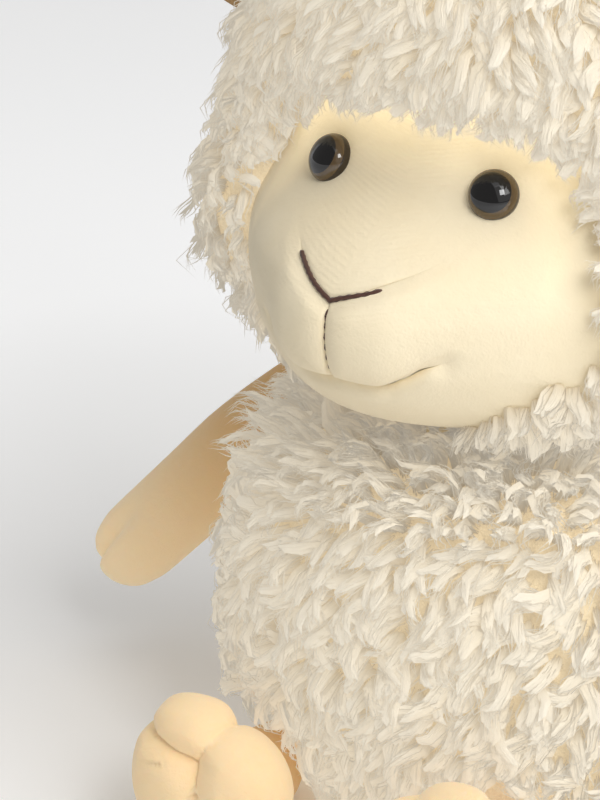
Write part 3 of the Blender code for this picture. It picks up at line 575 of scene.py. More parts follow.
def wool_piece(name, groups, paint):
    """One mesh from several groups of strands."""
    made = [strand_points(strands, sides) for strands, sides in groups]
    starts = np.cumsum([0] + [len(points) for points, *_ in made])
    points = np.concatenate([each[0] for each in made])
    shading = np.concatenate([each[1] for each in made])
    quads = np.concatenate([each[2] + start for each, start in zip(made, starts)])
    triangles = np.concatenate([each[3] + start for each, start in zip(made, starts)])
    values = {key: np.concatenate([each[4][key] for each in made]) for key in made[0][4]}
    piece = make_piece(name, points, [quads, triangles], paint, values)
    piece.data.normals_split_custom_set_from_vertices(unit(shading))
    return piece


def lock_lines(roots, normal, flow, style, rng):
    """The middle line of each lock, as a function of how far along it and off it a strand runs.

    A lock bends from its start lean to its end lean and winds round that line as a helix that widens.
    """
    locks = len(roots)
    length = style["length"] * rng.uniform(0.75, 1.25, locks)[:, None, None]
    lean_from = math.radians(style["lean"][0]) + rng.normal(0, 0.12, locks)[:, None, None]
    lean_to = math.radians(style["lean"][1]) + rng.normal(0, 0.18, locks)[:, None, None]
    bend = lean_to - lean_from
    bend = np.where(np.abs(bend) < 0.05, 0.05, bend)
    phase = rng.uniform(0, TAU, locks)[:, None, None]
    hand = rng.choice([-1, 1], locks)[:, None, None]
    wide = style["curl"] * rng.uniform(0.6, 1.3, locks)[:, None, None]
    side = np.cross(normal, flow)[:, None, None, :]
    n = normal[:, None, None, :]
    f = flow[:, None, None, :]

    def line(at):
        lean = lean_from + bend * at
        rise = (np.sin(lean) - np.sin(lean_from)) / bend * length
        run = (np.cos(lean_from) - np.cos(lean)) / bend * length
        up = np.sin(lean)[..., None] * n - np.cos(lean)[..., None] * f
        wind = hand * TAU * style["turns"] * at + phase
        curl = wide * at ** 1.2
        middle = roots[:, None, None, :] + rise[..., None] * n + run[..., None] * f
        middle = middle + (curl * np.cos(wind))[..., None] * side + (curl * np.sin(wind))[..., None] * up
        return middle, side, up, hand
    return line


def strands_round(line, style, kind, normal, glow, rng):
    """Strands of one kind round the middle lines: they start spread out and draw together."""
    locks = len(normal)
    count, steps = kind["strands"], kind["steps"] + 1
    s = eased(steps, STRAND_EASING)[None, None, :]
    at = s * rng.uniform(*kind["reach"], (locks, count))[:, :, None]
    middle, side, up, hand = line(at)
    around = rng.uniform(0, TAU, (locks, 1)) + bearings(count)
    around = (around + rng.normal(0, 0.3, (locks, count)))[:, :, None] + hand * style["twist"] * at
    out = kind["spread"] * rng.uniform(0.55, 1.1, (locks, count))[:, :, None]
    out = out * (1 - kind["gather"] * at ** 1.5)
    wave = kind["stray"] * rng.normal(0, 1, (locks, count, 1)) * at
    wave = wave * np.sin(TAU * kind["wave"] * at + rng.uniform(0, TAU, (locks, count, 1)))
    aside = out * np.cos(around) + wave
    above = 0.6 * out * np.sin(around) + wave
    off_line = aside[..., None] * side + above[..., None] * up
    soft = unit(normal[:, None, None, :] * NORMAL_SHADING_SHARE + 0.5 * up + 0.6 * off_line / kind["spread"])
    thick = kind["radius"] * rng.uniform(0.75, 1.25, (locks, count))[:, :, None]
    radius = thick * np.maximum(np.sin(math.pi * (0.13 + 0.87 * s ** 0.85)), 0) ** kind["point"]
    flat = (locks * count, steps)
    tone = np.repeat(rng.uniform(0, 1, locks), count)
    return {
        "line": (middle + off_line).reshape(*flat, 3),
        "soft": soft.reshape(*flat, 3),
        "side": np.broadcast_to(side, middle.shape).reshape(*flat, 3),
        "up": np.broadcast_to(up, middle.shape).reshape(*flat, 3),
        "radius": np.broadcast_to(radius, middle.shape[:3]).reshape(flat),
        "flat": kind["flat"],
        "flute": kind["flute"],
        "phase": rng.uniform(0, TAU, locks * count),
        "tone": np.clip(tone + rng.normal(0, 0.15, len(tone)), 0, 1),
        "glow": np.repeat(glow, count),
    }


def swirl(points, amount, size):
    """An angle that drifts over the surface: sums of sines of the place, in rounds of this size."""
    k = TAU / size
    x, y, z = points[:, 0], points[:, 1], points[:, 2]
    first = np.sin(k * x + 1.3) * np.cos(0.8 * k * z + 0.4) + np.sin(0.7 * k * y + 2.1)
    second = np.cos(1.7 * k * z - 0.9 * k * x + 0.8) * np.sin(1.3 * k * y + 0.2)
    return amount * (0.6 * first + 0.5 * second)


def glow_at(points):
    """Share of a lock's painted glow: less under the chin and round the neck, as painted shade."""
    off_neck = np.hypot(points[:, 0] - NECK_SHADE[0], points[:, 1] - NECK_SHADE[1])
    up = (points[:, 2] - NECK_SHADE[2]) / NECK_SHADE_HEIGHT
    return 1 - NECK_SHADE_DEPTH * np.exp(-((off_neck / NECK_SHADE_RADIUS) ** 4) - up ** 2)


def turned_about(vectors, axis, angle):
    """Rodrigues' rotation for vectors at right angles to their axes."""
    return vectors * np.cos(angle)[:, None] + np.cross(axis, vectors) * np.sin(angle)[:, None]


def reach_of(style, share):
    """How far a lock of this style has risen and run at this share of its length."""
    start, stop = (math.radians(lean) for lean in style["lean"])
    bend = stop - start
    rise = (math.sin(start + bend * share) - math.sin(start)) / bend * style["length"]
    run = (math.cos(start) - math.cos(start + bend * share)) / bend * style["length"]
    return rise, run


def clear_of_limbs(roots, normal, flow, style):
    """Leaves out the body's locks that would pass through a leg or an arm."""
    clear = np.ones(len(roots), bool)
    leg = math.radians(LEG_TURN_DEGREES - 90)
    drop = math.radians(ARM_DROP_DEGREES)
    for side in (1, -1):
        limbs = (
            (HIP, (math.cos(leg), math.sin(leg), 0), LEG_RADIUS + LEG_ROOM[side], LEG_LENGTH),
            (SHOULDER, (side * math.cos(drop), 0, -math.sin(drop)), ARM_RADIUS - ARM_OVERLAP, ARM_LENGTH),
        )
        for pivot, direction, radius, length in limbs:
            pivot = np.array(pivot) * (side, 1, 1)
            for share in (0, 0.35, 0.7, 1.0):
                rise, run = reach_of(style, share)
                from_pivot = roots + normal * rise + flow * run - pivot
                along = np.clip(from_pivot @ np.array(direction), 0, length)
                away = np.linalg.norm(from_pivot - along[:, None] * np.array(direction), axis=1)
                clear &= away > radius
    return clear


def strand_triangles(kind, sides):
    return kind["strands"] * (2 * sides * (kind["steps"] - 1) + sides + sides - 2)


def fleece(prefix, roots, normal, flow, style, paint, body, seed, shape=None):
    """Splits the locks into pieces of no more than MOST_TRIANGLES triangles each, and makes each one."""
    rng = np.random.default_rng(seed)
    leaves, wisps = style["leaves"], style["wisps"]
    angle = style["turn"] + swirl(roots, style["swirl"], style["swirl_size"])
    flow = turned_about(flow, normal, angle + rng.normal(0, style["scatter"], len(roots)))
    if body == "body":
        clear = clear_of_limbs(roots, normal, flow, style)
        if "short" in style:
            crossing = roots[~clear], normal[~clear], flow[~clear]
            fleece(f"{prefix}_short", *crossing, style["short"], paint, body, seed + 100, shape)
        roots, normal, flow = roots[clear], normal[clear], flow[clear]
    triangles = strand_triangles(leaves, LEAF_SIDES) + strand_triangles(wisps, WISP_SIDES)
    most = int(MOST_TRIANGLES / triangles)
    order = np.argsort(np.arctan2(roots[:, 0], -roots[:, 1]), kind="stable")
    for number, part in enumerate(np.array_split(order, math.ceil(len(order) / most)), 1):
        line = lock_lines(roots[part], normal[part], flow[part], style, rng)
        groups = []
        for kind, sides in ((leaves, LEAF_SIDES), (wisps, WISP_SIDES)):
            strands = strands_round(line, style, kind, normal[part], glow_at(roots[part]), rng)
            if shape:
                strands["line"] = shape(strands["line"])
            groups.append((strands, sides))
        piece = wool_piece(f"{prefix}_{number}", groups, paint)
        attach(piece, body)


def build_hood(skin_paint, lock_paint):
    surface = hood_surface(HOOD_SKIN_SHARE)
    backing = hood_surface(0.0)
    turns = turns_round(144)
    rows = 60
    low = hood_edge(turns) + 0.002
    spread = bunched(rows + 1)[:-1]
    share = low[:, None] + (1 - low[:, None]) * spread[None, :]
    turn = np.repeat(turns[:, None], rows, axis=1)
    outer = surface(turn, share).transpose(1, 0, 2)
    inner = backing(turn, share).transpose(1, 0, 2)
    rings = np.concatenate([inner[::-1], outer])
    top = HEAD_BASE + HEAD_HEIGHT
    skin = closed_tube("hood_skin", rings, (0, 0, top), (0, 0, top + HOOD_SKIN_SHARE * HOOD_PILE), skin_paint)
    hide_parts("hood_wool")
    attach(skin, "head")

    turn, share = scattered(surface, 0.02, 0.995, HOOD_LOCK_SPACING, 11)
    keep = behind_rim(turn, share) > RIM_BAND
    turn, share = turn[keep], share[keep]
    roots = surface(turn, share)
    normal, flow = surface_frame(surface, turn, share)
    fleece("hood_locks", roots, normal, flow, HOOD_STYLE, lock_paint, "head", 21)
    build_fringe(lock_paint)
    build_jaw_locks(lock_paint)


# Where the wool comes up the jaw: degrees from the front, and the share of the head's height
JAW_LINE = ((30, 0.00), (38, 0.050), (48, 0.105), (56, 0.140), (63, 0.180), (70, 0.240), (80, 0.28))
JAW_LOWER_FAR = 0.075

# Longer locks that hang from the hood beside the jaw
WHISKER_FROM_DEGREES = 60
WHISKER_TO_DEGREES = 112
WHISKER_TOP_SHARE = 0.10


def build_jaw_locks(paint):
    """Locks under both sides of the jaw, where the hood's plush comes forward to the neck.

    The photograph shows less of them on the far side than on the near one.
    """
    turn, share = scattered(head_points, 0.004, 0.30, JAW_SPACING, 61)
    degrees = off_front(turn)
    top = read_table(JAW_LINE, degrees) - JAW_LOWER_FAR * (turn < 0) * smooth_step(66, 56, degrees)
    keep = (share < top) & (degrees < 84)
    turn, share = turn[keep], share[keep]
    normal, flow = surface_frame(head_points, turn, share)
    fleece("jaw_locks", head_points(turn, share), normal, flow, JAW_STYLE, paint, "head", 62)

    turn, share = scattered(head_points, 0.002, WHISKER_TOP_SHARE, WHISKER_SPACING, 63)
    degrees = off_front(turn)
    keep = (degrees > WHISKER_FROM_DEGREES) & (degrees < WHISKER_TO_DEGREES)
    turn, share = turn[keep], share[keep]
    roots = hood_surface(0.5)(turn, share)
    normal, flow = surface_frame(head_points, turn, share)
    fleece("whisker_locks", roots, normal, flow, WHISKER_STYLE, paint, "head", 64)


def build_fringe(paint):
    """Locks along the rim round the face, which lean over the rim and out."""
    rng = np.random.default_rng(5)
    turns = np.radians(np.linspace(-86, 86, 400))
    line = head_points(turns, hood_edge(turns))
    run = run_along(line)
    count = int(run[-1] / FRINGE_SPACING)
    at = (np.arange(count) + rng.uniform(-0.4, 0.4, count)) * run[-1] / count
    turn = np.interp(at, run, turns)
    share = hood_edge(turn) + rng.uniform(0.05, 1, count) * RIM_BAND * rim_stretch(turn) / HEAD_HEIGHT
    skin = hood_surface(HOOD_SKIN_SHARE)
    roots = skin(turn, share)
    normal, downhill = surface_frame(head_points, turn, share)
    beside = smooth_step(20, 50, off_front(turn))[:, None]
    rounded = beside * np.where(turn < 0, 0.9, 0.15)[:, None]
    normal = unit(normal + rounded * (surface_frame(skin, turn, share)[0] - normal))
    after = head_points(turn + 0.01, hood_edge(turn + 0.01))
    before = head_points(turn - 0.01, hood_edge(turn - 0.01))
    edge = unit(after - before)
    opening = unit(np.cross(edge, normal))
    to_face = head_points(0.8 * turn, share - 0.05) - head_points(turn, share)
    opening = np.where(np.sum(opening * to_face, axis=1, keepdims=True) < 0, -opening, opening)
    over_face = np.where(turn < 0, 0.60, 0.12)[:, None]
    flow = unit((0.75 + (over_face - 0.75) * beside) * opening + (0.35 + 0.5 * beside) * downhill)
    flow = unit(flow - normal * np.sum(flow * normal, axis=1, keepdims=True))
    fleece("fringe_locks", roots, normal, flow, FRINGE_STYLE, paint, "head", 22)


def build_body(skin_paint, lock_paint):
    surface = body_surface(BODY_SKIN_INSET)
    turns = turns_round(120)
    shares = bunched(60)
    turn = np.repeat(turns[None, :], len(shares), axis=0)
    share = np.repeat(shares[:, None], len(turns), axis=1)
    rings = surface(turn, share)
    bottom = (0, 0, float(rings[0, 0, 2]))
    top = (0, 0, float(rings[-1, 0, 2]))
    skin = closed_tube("body_skin", rings, bottom, top, skin_paint)
    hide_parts("body_wool", "body_stuffing", "pellet_bag")
    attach(skin, "body")

    turn, share = scattered(surface, 0.015, COLLAR_FROM_SHARE, BODY_LOCK_SPACING, 31)
    roots = surface(turn, share)
    normal, flow = surface_frame(surface, turn, share)
    fleece("body_locks", roots, normal, flow, BODY_STYLE, lock_paint, "body", 41, above_floor)
    turn, share = scattered(surface, COLLAR_FROM_SHARE, 0.9995, COLLAR_SPACING, 32)
    roots = surface(turn, share)
    normal, flow = surface_frame(surface, turn, share)
    fleece("collar_locks", roots, normal, flow, COLLAR_STYLE, lock_paint, "body", 42)


def above_floor(line):
    """Presses what would hang through the surface that the sheep sits on flat against it."""
    lowest = 0.0012
    z = line[..., 2]
    line[..., 2] = np.where(z < 3 * lowest, lowest + 2 * lowest * np.exp((z - 3 * lowest) / (2 * lowest)), z)
    return line


# Neck and tail

NECK_HOLE_RADIUS = 0.031
NECK_PIVOT_HEIGHT = 0.100
NECK_GAP = 0.0004
PLEATS = 36
PLEAT_DEPTH = 0.0004
TAIL_PIVOT = (0.0, 0.064241, 0.036)
TAIL_LENGTH = 0.028
TAIL_RADIUS = 0.0105
TAIL_DROP_DEGREES = 52
TAIL_SKIN_INSET = 0.0035
TAIL_LOCK_SPACING = 0.0036
TAIL_PROFILE = (
    (-0.20, 0.30), (0.00, 0.52), (0.20, 0.80), (0.45, 1.00), (0.70, 0.94), (0.88, 0.66), (0.97, 0.34),
    (1.00, 0.0),
)


def build_neck(paint):
    """A stuffed ball whose cloth is gathered into small pleats round the neck's seam."""
    plug = NECK_HOLE_RADIUS - NECK_GAP
    ball = math.hypot(plug, BODY_HEIGHT + NECK_GAP - NECK_PIVOT_HEIGHT)
    angles = np.linspace(math.acos(plug / ball), math.pi / 2, 24)[:-1]
    around = np.linspace(0, TAU, 289)[:-1]
    pleat = PLEAT_DEPTH * np.cos(PLEATS * around)[None, :] * np.cos(angles)[:, None] ** 2
    radius = ball * np.cos(angles)[:, None] - PLEAT_DEPTH + pleat
    x = radius * np.cos(around)
    y = radius * np.sin(around)
    z = NECK_PIVOT_HEIGHT + ball * np.sin(angles)[:, None] + 0 * x
    rings = np.stack([x, y, z], axis=-1)
    below = rings[:1] - np.array([0, 0, 0.012])
    rings = np.concatenate([below, rings])
    start = (0, 0, float(below[0, 0, 2]))
    roll = closed_tube("neck_cloth", rings, start, (0, 0, NECK_PIVOT_HEIGHT + ball), paint)
    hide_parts("neck_roll")
    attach(roll, "neck")


def tail_surface(turn, share):
    radius = np.maximum(read_table(TAIL_PROFILE, share) * TAIL_RADIUS - TAIL_SKIN_INSET, 0.0003)
    x = share * (TAIL_LENGTH - TAIL_SKIN_INSET)
    points = np.stack([x + 0 * turn, -radius * np.sin(turn), radius * np.cos(turn)], axis=-1)
    return placed(points, TAIL_PIVOT, 90, TAIL_DROP_DEGREES)


def build_tail(skin_paint, lock_paint):
    shares = np.linspace(-0.15, 0.99, 30)
    turns = turns_round(48)
    turn = np.repeat(turns[None, :], len(shares), axis=0)
    rings = tail_surface(turn, np.repeat(shares[:, None], len(turns), axis=1))
    skin = closed_tube("tail_skin", rings, rings[0].mean(axis=0), rings[-1].mean(axis=0), skin_paint)
    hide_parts("tail_wool")
    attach(skin, "tail")
    turn, share = scattered(tail_surface, 0.02, 0.98, TAIL_LOCK_SPACING, 51)
    normal, backward = surface_frame(tail_surface, turn, share)
    fleece("tail_locks", tail_surface(turn, share), normal, -backward, TAIL_STYLE, lock_paint, "tail", 52)


# Eyes and thread

EYE_RADIUS = 0.0065
EYE_DOME = 0.0048
EYE_SEAT = 0.0010
EYE_SIDES = 48
EYE_TURN_DEGREES = 28
EYE_HEIGHT_SHARE = 0.480

# Where the threads run, and the radius, plies and pitch of each
NOSE_DEGREES = (-19, 14.5)
NOSE_THREAD = (0.00062, 3, 0.0024)
LIP_SHARES = (0.285, 0.137)
LIP_THREAD = (0.00022, 3, 0.0016)


def frame_at(normal):
    """Two directions at right angles to this one and to each other."""
    side = unit(np.cross((0, 0, 1), normal))
    return side, np.cross(normal, side)


def build_eye(word, side, paint):
    """A dome that is an ellipse quarter turned about the eye's axis, with a lip and a flat back."""
    turn = np.array([math.radians(EYE_TURN_DEGREES) * side])
    share = np.array([EYE_HEIGHT_SHARE])
    centre = head_points(turn, share)[0]
    normal = surface_frame(head_points, turn, share)[0][0]
    across, up = frame_at(normal)
    angles = np.linspace(-0.25, math.pi / 2, 26)[:-1]
    radius = EYE_RADIUS * np.cos(angles)
    height = EYE_SEAT + EYE_DOME * np.sin(angles)
    around = bearings(EYE_SIDES)
    rings = (centre + normal * height[:, None, None]
             + radius[:, None, None] * (across * np.cos(around)[None, :, None]
                                        + up * np.sin(around)[None, :, None]))
    start = centre + normal * height[0]
    end = centre + normal * (EYE_SEAT + EYE_DOME)
    share_out = np.concatenate([np.repeat(radius / EYE_RADIUS, EYE_SIDES), [0, 0]])
    eye = closed_tube(f"eye_dome_{word}", rings, start, end, paint, {"out": share_out})
    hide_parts(f"eye_{word}")
    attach(eye, "head")


def twisted_cord(line, radius, plies, pitch, sides=8):
    """Rings of a twisted thread along a line: the radius swells with each ply as it winds round."""
    tangent = unit(np.gradient(line, axis=0))
    up = np.array([0.0, 0.3, 1.0])
    side = unit(np.cross(tangent, up))
    over = np.cross(side, tangent)
    run = run_along(line)
    around = bearings(sides)
    wave = 1 + 0.16 * np.cos(plies * around[None, :] - TAU * run[:, None] / pitch)
    taper = np.minimum(1, np.minimum(run, run[-1] - run)[:, None] / radius * 0.6 + 0.45)
    size = (radius * wave * taper)[..., None]
    return line[:, None, :] + size * (side[:, None, :] * np.cos(around)[None, :, None]
                                      + over[:, None, :] * np.sin(around)[None, :, None])


def face_line(degrees, shares, lift):
    turn = np.radians(degrees)
    normal, _ = surface_frame(head_points, turn, shares)
    return head_points(turn, shares) + normal * np.asarray(lift)[..., None]


def build_threads(paint):
    degrees = np.linspace(*NOSE_DEGREES, 121)
    shares = seam_at(CHEEK_SEAM, np.radians(degrees)) - 0.010 * smooth_step(0, 15, degrees)
    line = face_line(degrees, shares, 0.0001 + 0 * degrees)
    rings = twisted_cord(line, *NOSE_THREAD)
    nose = closed_tube("nose_thread", rings, line[0], line[-1], paint)
    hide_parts("nose_stitch")
    shares = np.linspace(*LIP_SHARES, 90)
    stitch = np.sin(np.linspace(0, math.pi * 7, 90)) ** 2
    line = face_line(0 * shares, shares, 0.0005 * stitch - 0.0001 - face_dip(0 * shares, shares))
    rings = twisted_cord(line, *LIP_THREAD)
    lip = closed_tube("lip_thread", rings, line[0], line[-1], paint)
    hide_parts("lip_stitch")
    for piece in (nose, lip):
        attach(piece, "head")


# Limbs, each in a frame of its own along +X, and then placed

ARM_ROWS = 130
CLEFT_BEARING_DEGREES = -62
CLEFT_WIDTH = 0.25
CLEFT_DEPTH = 0.0045
ARM_PROFILE = (
    (-0.06, 0.60), (0.00, 0.76), (0.10, 0.86), (0.22, 0.95), (0.36, 1.00), (0.55, 0.98),
    (0.72, 0.97), (0.84, 0.96), (0.92, 0.86), (0.97, 0.63), (0.993, 0.33), (1.00, 0.0),
)


def placed(points, pivot, heading, drop):
    """Turns points down about Y, then about Z, and moves them to their pivot."""
    h, d = math.radians(heading), math.radians(drop)
    down = np.array([[math.cos(d), 0, math.sin(d)], [0, 1, 0], [-math.sin(d), 0, math.cos(d)]])
    turn = np.array([[math.cos(h), -math.sin(h), 0], [math.sin(h), math.cos(h), 0], [0, 0, 1]])
    return points @ (turn @ down).T + np.array(pivot)


def painted_root_shade(rings, length, reach, least=0.0):
    """How much painted warm shade each point of a limb takes: all of it where the limb is sewn on, fading out
    by this reach of its length, and never less than least.
    """
    near = least + (1 - least) * smooth_step(reach, 0.0, rings[..., 0] / length)
    return np.concatenate([near.reshape(-1), [1.0, 0.0]])


def arm_rings():
    """A tube whose radius follows the arm's profile, with a cleft in its tip and two sewn seams."""
    along = ARM_LENGTH * eased(ARM_ROWS, 1.35)[:-1]
    along = np.concatenate([np.linspace(-0.006, -0.001, 4), along])
    around = bearings(64)
    radius = read_table(ARM_PROFILE, along / ARM_LENGTH) * ARM_RADIUS
    a = around[None, :]
    near_tip = smooth_step(0.62, 0.90, along / ARM_LENGTH)[:, None]
    cleft = np.exp(-((angle_off(a, math.radians(CLEFT_BEARING_DEGREES)) / CLEFT_WIDTH) ** 2))
    cleft_depth = CLEFT_DEPTH * near_tip * cleft
    seam = np.exp(-((angle_off(a, math.pi) / 0.07) ** 2))
    seam = seam + np.exp(-((angle_off(a, 0) / 0.07) ** 2))
    size = radius[:, None] - cleft_depth - 0.0006 * seam * (1 - 0.5 * near_tip)
    size = np.maximum(size, 0.0004)
    y = size * np.sin(a) * 0.95
    z = size * np.cos(a)
    x = along[:, None] + 0 * a
    return np.stack([x, y, z], axis=-1)


def build_arm(word, side, paint):
    rings = arm_rings()
    heading = 0 if side > 0 else 180
    pivot = (SHOULDER[0] * side, SHOULDER[1], SHOULDER[2])
    if side < 0:
        rings[..., 1] *= -1
    start = np.array([rings[0, 0, 0], 0, 0])
    end = np.array([ARM_LENGTH, 0, 0])
    ends = placed(np.stack([start, end]), pivot, heading, ARM_DROP_DEGREES)
    # Painted warm shade along the arm, strongest at the shoulder
    root = painted_root_shade(rings, ARM_LENGTH, 1.0)
    skin = placed(rings, pivot, heading, ARM_DROP_DEGREES)
    arm = closed_tube(f"arm_cover_{word}", skin, *ends, paint, {"root": root})
    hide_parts(f"arm_skin_{word}", f"arm_stuffing_{word}", f"paw_stitch_{word}")
    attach(arm, f"arm_{word}")


LEG_ROWS = 150
FOOT_HALF_WIDTH = 0.0232
FOOT_SHIFT = 0.0010
FOOT_HEIGHT = 0.045
FOOT_GROWTH = (
    (-0.12, 0.00), (0.14, 0.00), (0.26, 0.02), (0.36, 0.20), (0.46, 0.58), (0.58, 0.88),
    (0.72, 1.00), (1.0, 1.0),
)
FOOT_CLOSING = ((0.0, 1.0), (0.72, 1.0), (0.84, 0.97), (0.93, 0.82), (0.98, 0.55), (0.997, 0.26), (1.0, 0.0))


# Girth of the foot by bearing round it, as the creases leave one lobe higher than the other
FOOT_LOBES = (
    (0, 0.99), (30, 0.93), (55, 0.86), (75, 0.92), (95, 1.03), (115, 1.09), (135, 1.02), (155, 0.88),
    (180, 0.83), (205, 0.82), (240, 0.90), (270, 1.00), (320, 1.01), (360, 0.99),
)
LEG_START = ((-0.12, 0.66), (0.0, 0.76), (0.14, 0.93), (0.26, 1.0), (1.0, 1.0))

# Where the foot's stitch draws the sole in, across and up from the sole's middle
GATHER = (0.0034, 0.0104)

# Creases that run out from the gather: bearing, length, width of the roll beside it, and depth
CREASES = (
    (56, 0.036, 0.0075, 0.0044),
    (160, 0.060, 0.0100, 0.0062),
    (-85, 0.060, 0.0090, 0.0050),
    (190, 0.018, 0.0034, 0.0020),
    (20, 0.007, 0.0022, 0.0006),
)
GATHER_RADIUS = 0.0050
GATHER_DEPTH = 0.0030


def leg_rings():
    """A tube that grows into an upright foot."""
    share = eased(LEG_ROWS, 1.5)[:-1]
    share = np.concatenate([np.linspace(-0.12, -0.01, 5), share])
    around = bearings(144)
    start = LEG_RADIUS * read_table(LEG_START, share)
    grown = read_table(FOOT_GROWTH, share)
    closing = read_table(FOOT_CLOSING, share)
    width = start + (FOOT_HALF_WIDTH - start) * grown
    height = start + (FOOT_HEIGHT / 2 - start) * grown
    rise = (height - LEG_RADIUS) * np.clip(share / 0.26, 0, 1)
    bearing = np.degrees(np.arctan2(np.cos(around), np.sin(around))) % 360
    lobes = 1 + (read_table(FOOT_LOBES, bearing) - 1) * grown[:, None]
    y = width[:, None] * closing[:, None] * np.sin(around) * lobes + FOOT_SHIFT * grown[:, None]
    z = rise[:, None] + height[:, None] * closing[:, None] * np.cos(around) * lobes
    x = share[:, None] * LEG_LENGTH + 0 * y
    return np.stack([x, y, z], axis=-1)


def crease_depth(y, z):
    """Rounded valleys that run out from the gather, each rolled in from both sides of its line."""
    y = y - GATHER[0]
    z = z - GATHER[1] - (FOOT_HEIGHT / 2 - LEG_RADIUS)
    depth = GATHER_DEPTH * np.exp(-(y ** 2 + z ** 2) / GATHER_RADIUS ** 2)
    deepest = 0 * y
    for degrees, length, width, deep in CREASES:
        a = math.radians(degrees)
        along = y * math.cos(a) + z * math.sin(a)
        off = np.abs(z * math.cos(a) - y * math.sin(a))
        off = np.where(along < 0, np.hypot(along, off), off)
        fades = smooth_step(length, 0.55 * length, along)
        deepest = np.maximum(deepest, edge_roll(off, width, deep) * fades)
    return depth + deepest


def creased_foot(points):
    """The foot drawn in along its own normals by its creases, which reach round its rim."""
    normal = grid_normals(points, wrap=True)
    middle = points.mean(axis=1, keepdims=True)
    outward = np.sum((points - middle) * normal, axis=-1, keepdims=True) > 0
    ahead = normal[..., 0:1] > 0.5
    normal = np.where(outward | ahead, normal, -normal)
    share = points[..., 0] / LEG_LENGTH
    depth = crease_depth(points[..., 1], points[..., 2]) * smooth_step(0.30, 0.60, share)
    return points - normal * depth[..., None]


def build_leg(word, side, paint):
    points = creased_foot(leg_rings())
    heading = LEG_TURN_DEGREES - 90
    pivot = (HIP[0] * side, HIP[1], HIP[2])
    ends = np.stack([points[0].mean(axis=0), points[-1].mean(axis=0)])
    if side > 0:
        points[..., 1] *= -1
        ends[:, 1] *= -1
    skin = placed(points, pivot, heading, 0)
    skin[..., 2] = np.maximum(skin[..., 2], 0.0002)
    ends = placed(ends, pivot, heading, 0)
    # Painted warm shade along the leg, strongest at the hip, and a little over the whole foot
    root = painted_root_shade(points, LEG_LENGTH, 0.70, 0.15)
    leg = closed_tube(f"leg_cover_{word}", skin, *ends, paint, {"root": root})
    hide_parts(f"leg_skin_{word}", f"leg_stuffing_{word}", f"foot_stitch_{word}")
    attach(leg, f"leg_{word}")


# Ears, each in a frame of its own: the root across it, the leaf along its first axis

EAR_LENGTH = 0.050
EAR_WIDTH = 0.030
EAR_TURN_DEGREES = 100
EAR_HEIGHT_SHARE = 0.625
EAR_RISE_DEGREES = 28
EAR_ROWS = 60
EAR_COLUMNS = 41
EAR_CUP = 0.0030
EAR_BEND = 0.0035
EAR_PUFF = 0.0012
EAR_CLOTH = 0.0004
EAR_OUTLINE = (
    (0.00, 0.56), (0.15, 0.74), (0.32, 0.94), (0.48, 1.00), (0.64, 0.93), (0.80, 0.70), (0.92, 0.38),
    (1.00, 0.0),
)


def ear_points(lift):
    """A leaf cupped towards the front and bent back along its length, puffed out by this much."""
    along = eased(EAR_ROWS, 1.6)
    across = np.sin(np.linspace(-math.pi / 2, math.pi / 2, EAR_COLUMNS))
    u, v = np.meshgrid(along, across, indexing="ij")
    half = np.maximum(read_table(EAR_OUTLINE, u) * EAR_WIDTH / 2, 0.0002)
    cup = EAR_CUP * (v ** 2 - 0.5) * smooth_step(0, 0.5, u) * smooth_step(1.05, 0.6, u)
    puff = lift * np.sqrt(np.maximum(1 - v ** 2, 0)) * smooth_step(1.0, 0.85, u)
    front = cup + puff - EAR_BEND * u ** 2
    return np.stack([u * EAR_LENGTH, v * half, front], axis=-1)


def ear_place(points, side):
    """From the ear's frame to its place on the side of the hood."""
    turn = np.array([math.radians(EAR_TURN_DEGREES)])
    share = np.array([EAR_HEIGHT_SHARE])
    normal, _ = surface_frame(head_points, turn, share)
    at = head_points(turn, share)[0] + normal[0] * HOOD_PILE
    rise = math.radians(EAR_RISE_DEGREES)
    out = np.array([math.cos(rise), 0, math.sin(rise)])
    front = np.array([0, -1.0, 0])
    axes = np.stack([out, np.cross(front, out), front])
    moved = points @ axes + at
    moved[..., 0] *= side
    return moved


def build_ear(word, side, cloth, shaded_lining_tan):
    flat = {"root": np.zeros(2 * EAR_ROWS * EAR_COLUMNS)}
    for name, node, paint, low, high in (
        ("ear_cover", "ear_back", cloth, -EAR_PUFF, -EAR_CLOTH / 4),
        ("ear_inside", "ear_lining", shaded_lining_tan, EAR_CLOTH / 4, EAR_PUFF),
    ):
        outer = ear_place(ear_points(high), side)
        inner = ear_place(ear_points(low), side)
        piece = closed_sheet(f"{name}_{word}", outer, inner, paint, flat)
        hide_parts(f"{node}_{word}")
        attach(piece, f"ear_{word}")


# Colours and finishes

def srgb(red, green, blue):
    """A colour given as 0 to 255, in linear light."""
    values = [value / 255 for value in (red, green, blue)]
    return tuple(v / 12.92 if v <= 0.04045 else ((v + 0.055) / 1.055) ** 2.4 for v in values)


class Number:
    """A socket that adds Math nodes to its tree when it is used in a sum."""

    def __init__(self, paint, socket):
        self.paint = paint
        self.socket = socket

    def _math(self, operation, first, second=0.0):
        return self.paint.node("ShaderNodeMath", {"operation": operation}, {0: first, 1: second})

    def __add__(self, other):
        return self._math("ADD", self, other)

    __radd__ = __add__

    def __mul__(self, other):
        return self._math("MULTIPLY", self, other)

    __rmul__ = __mul__

    def __pow__(self, other):
        return self._math("POWER", self, other)

    def sine(self):
        return self._math("SINE", self)

    def over(self, edge):
        return self._math("GREATER_THAN", self, edge)


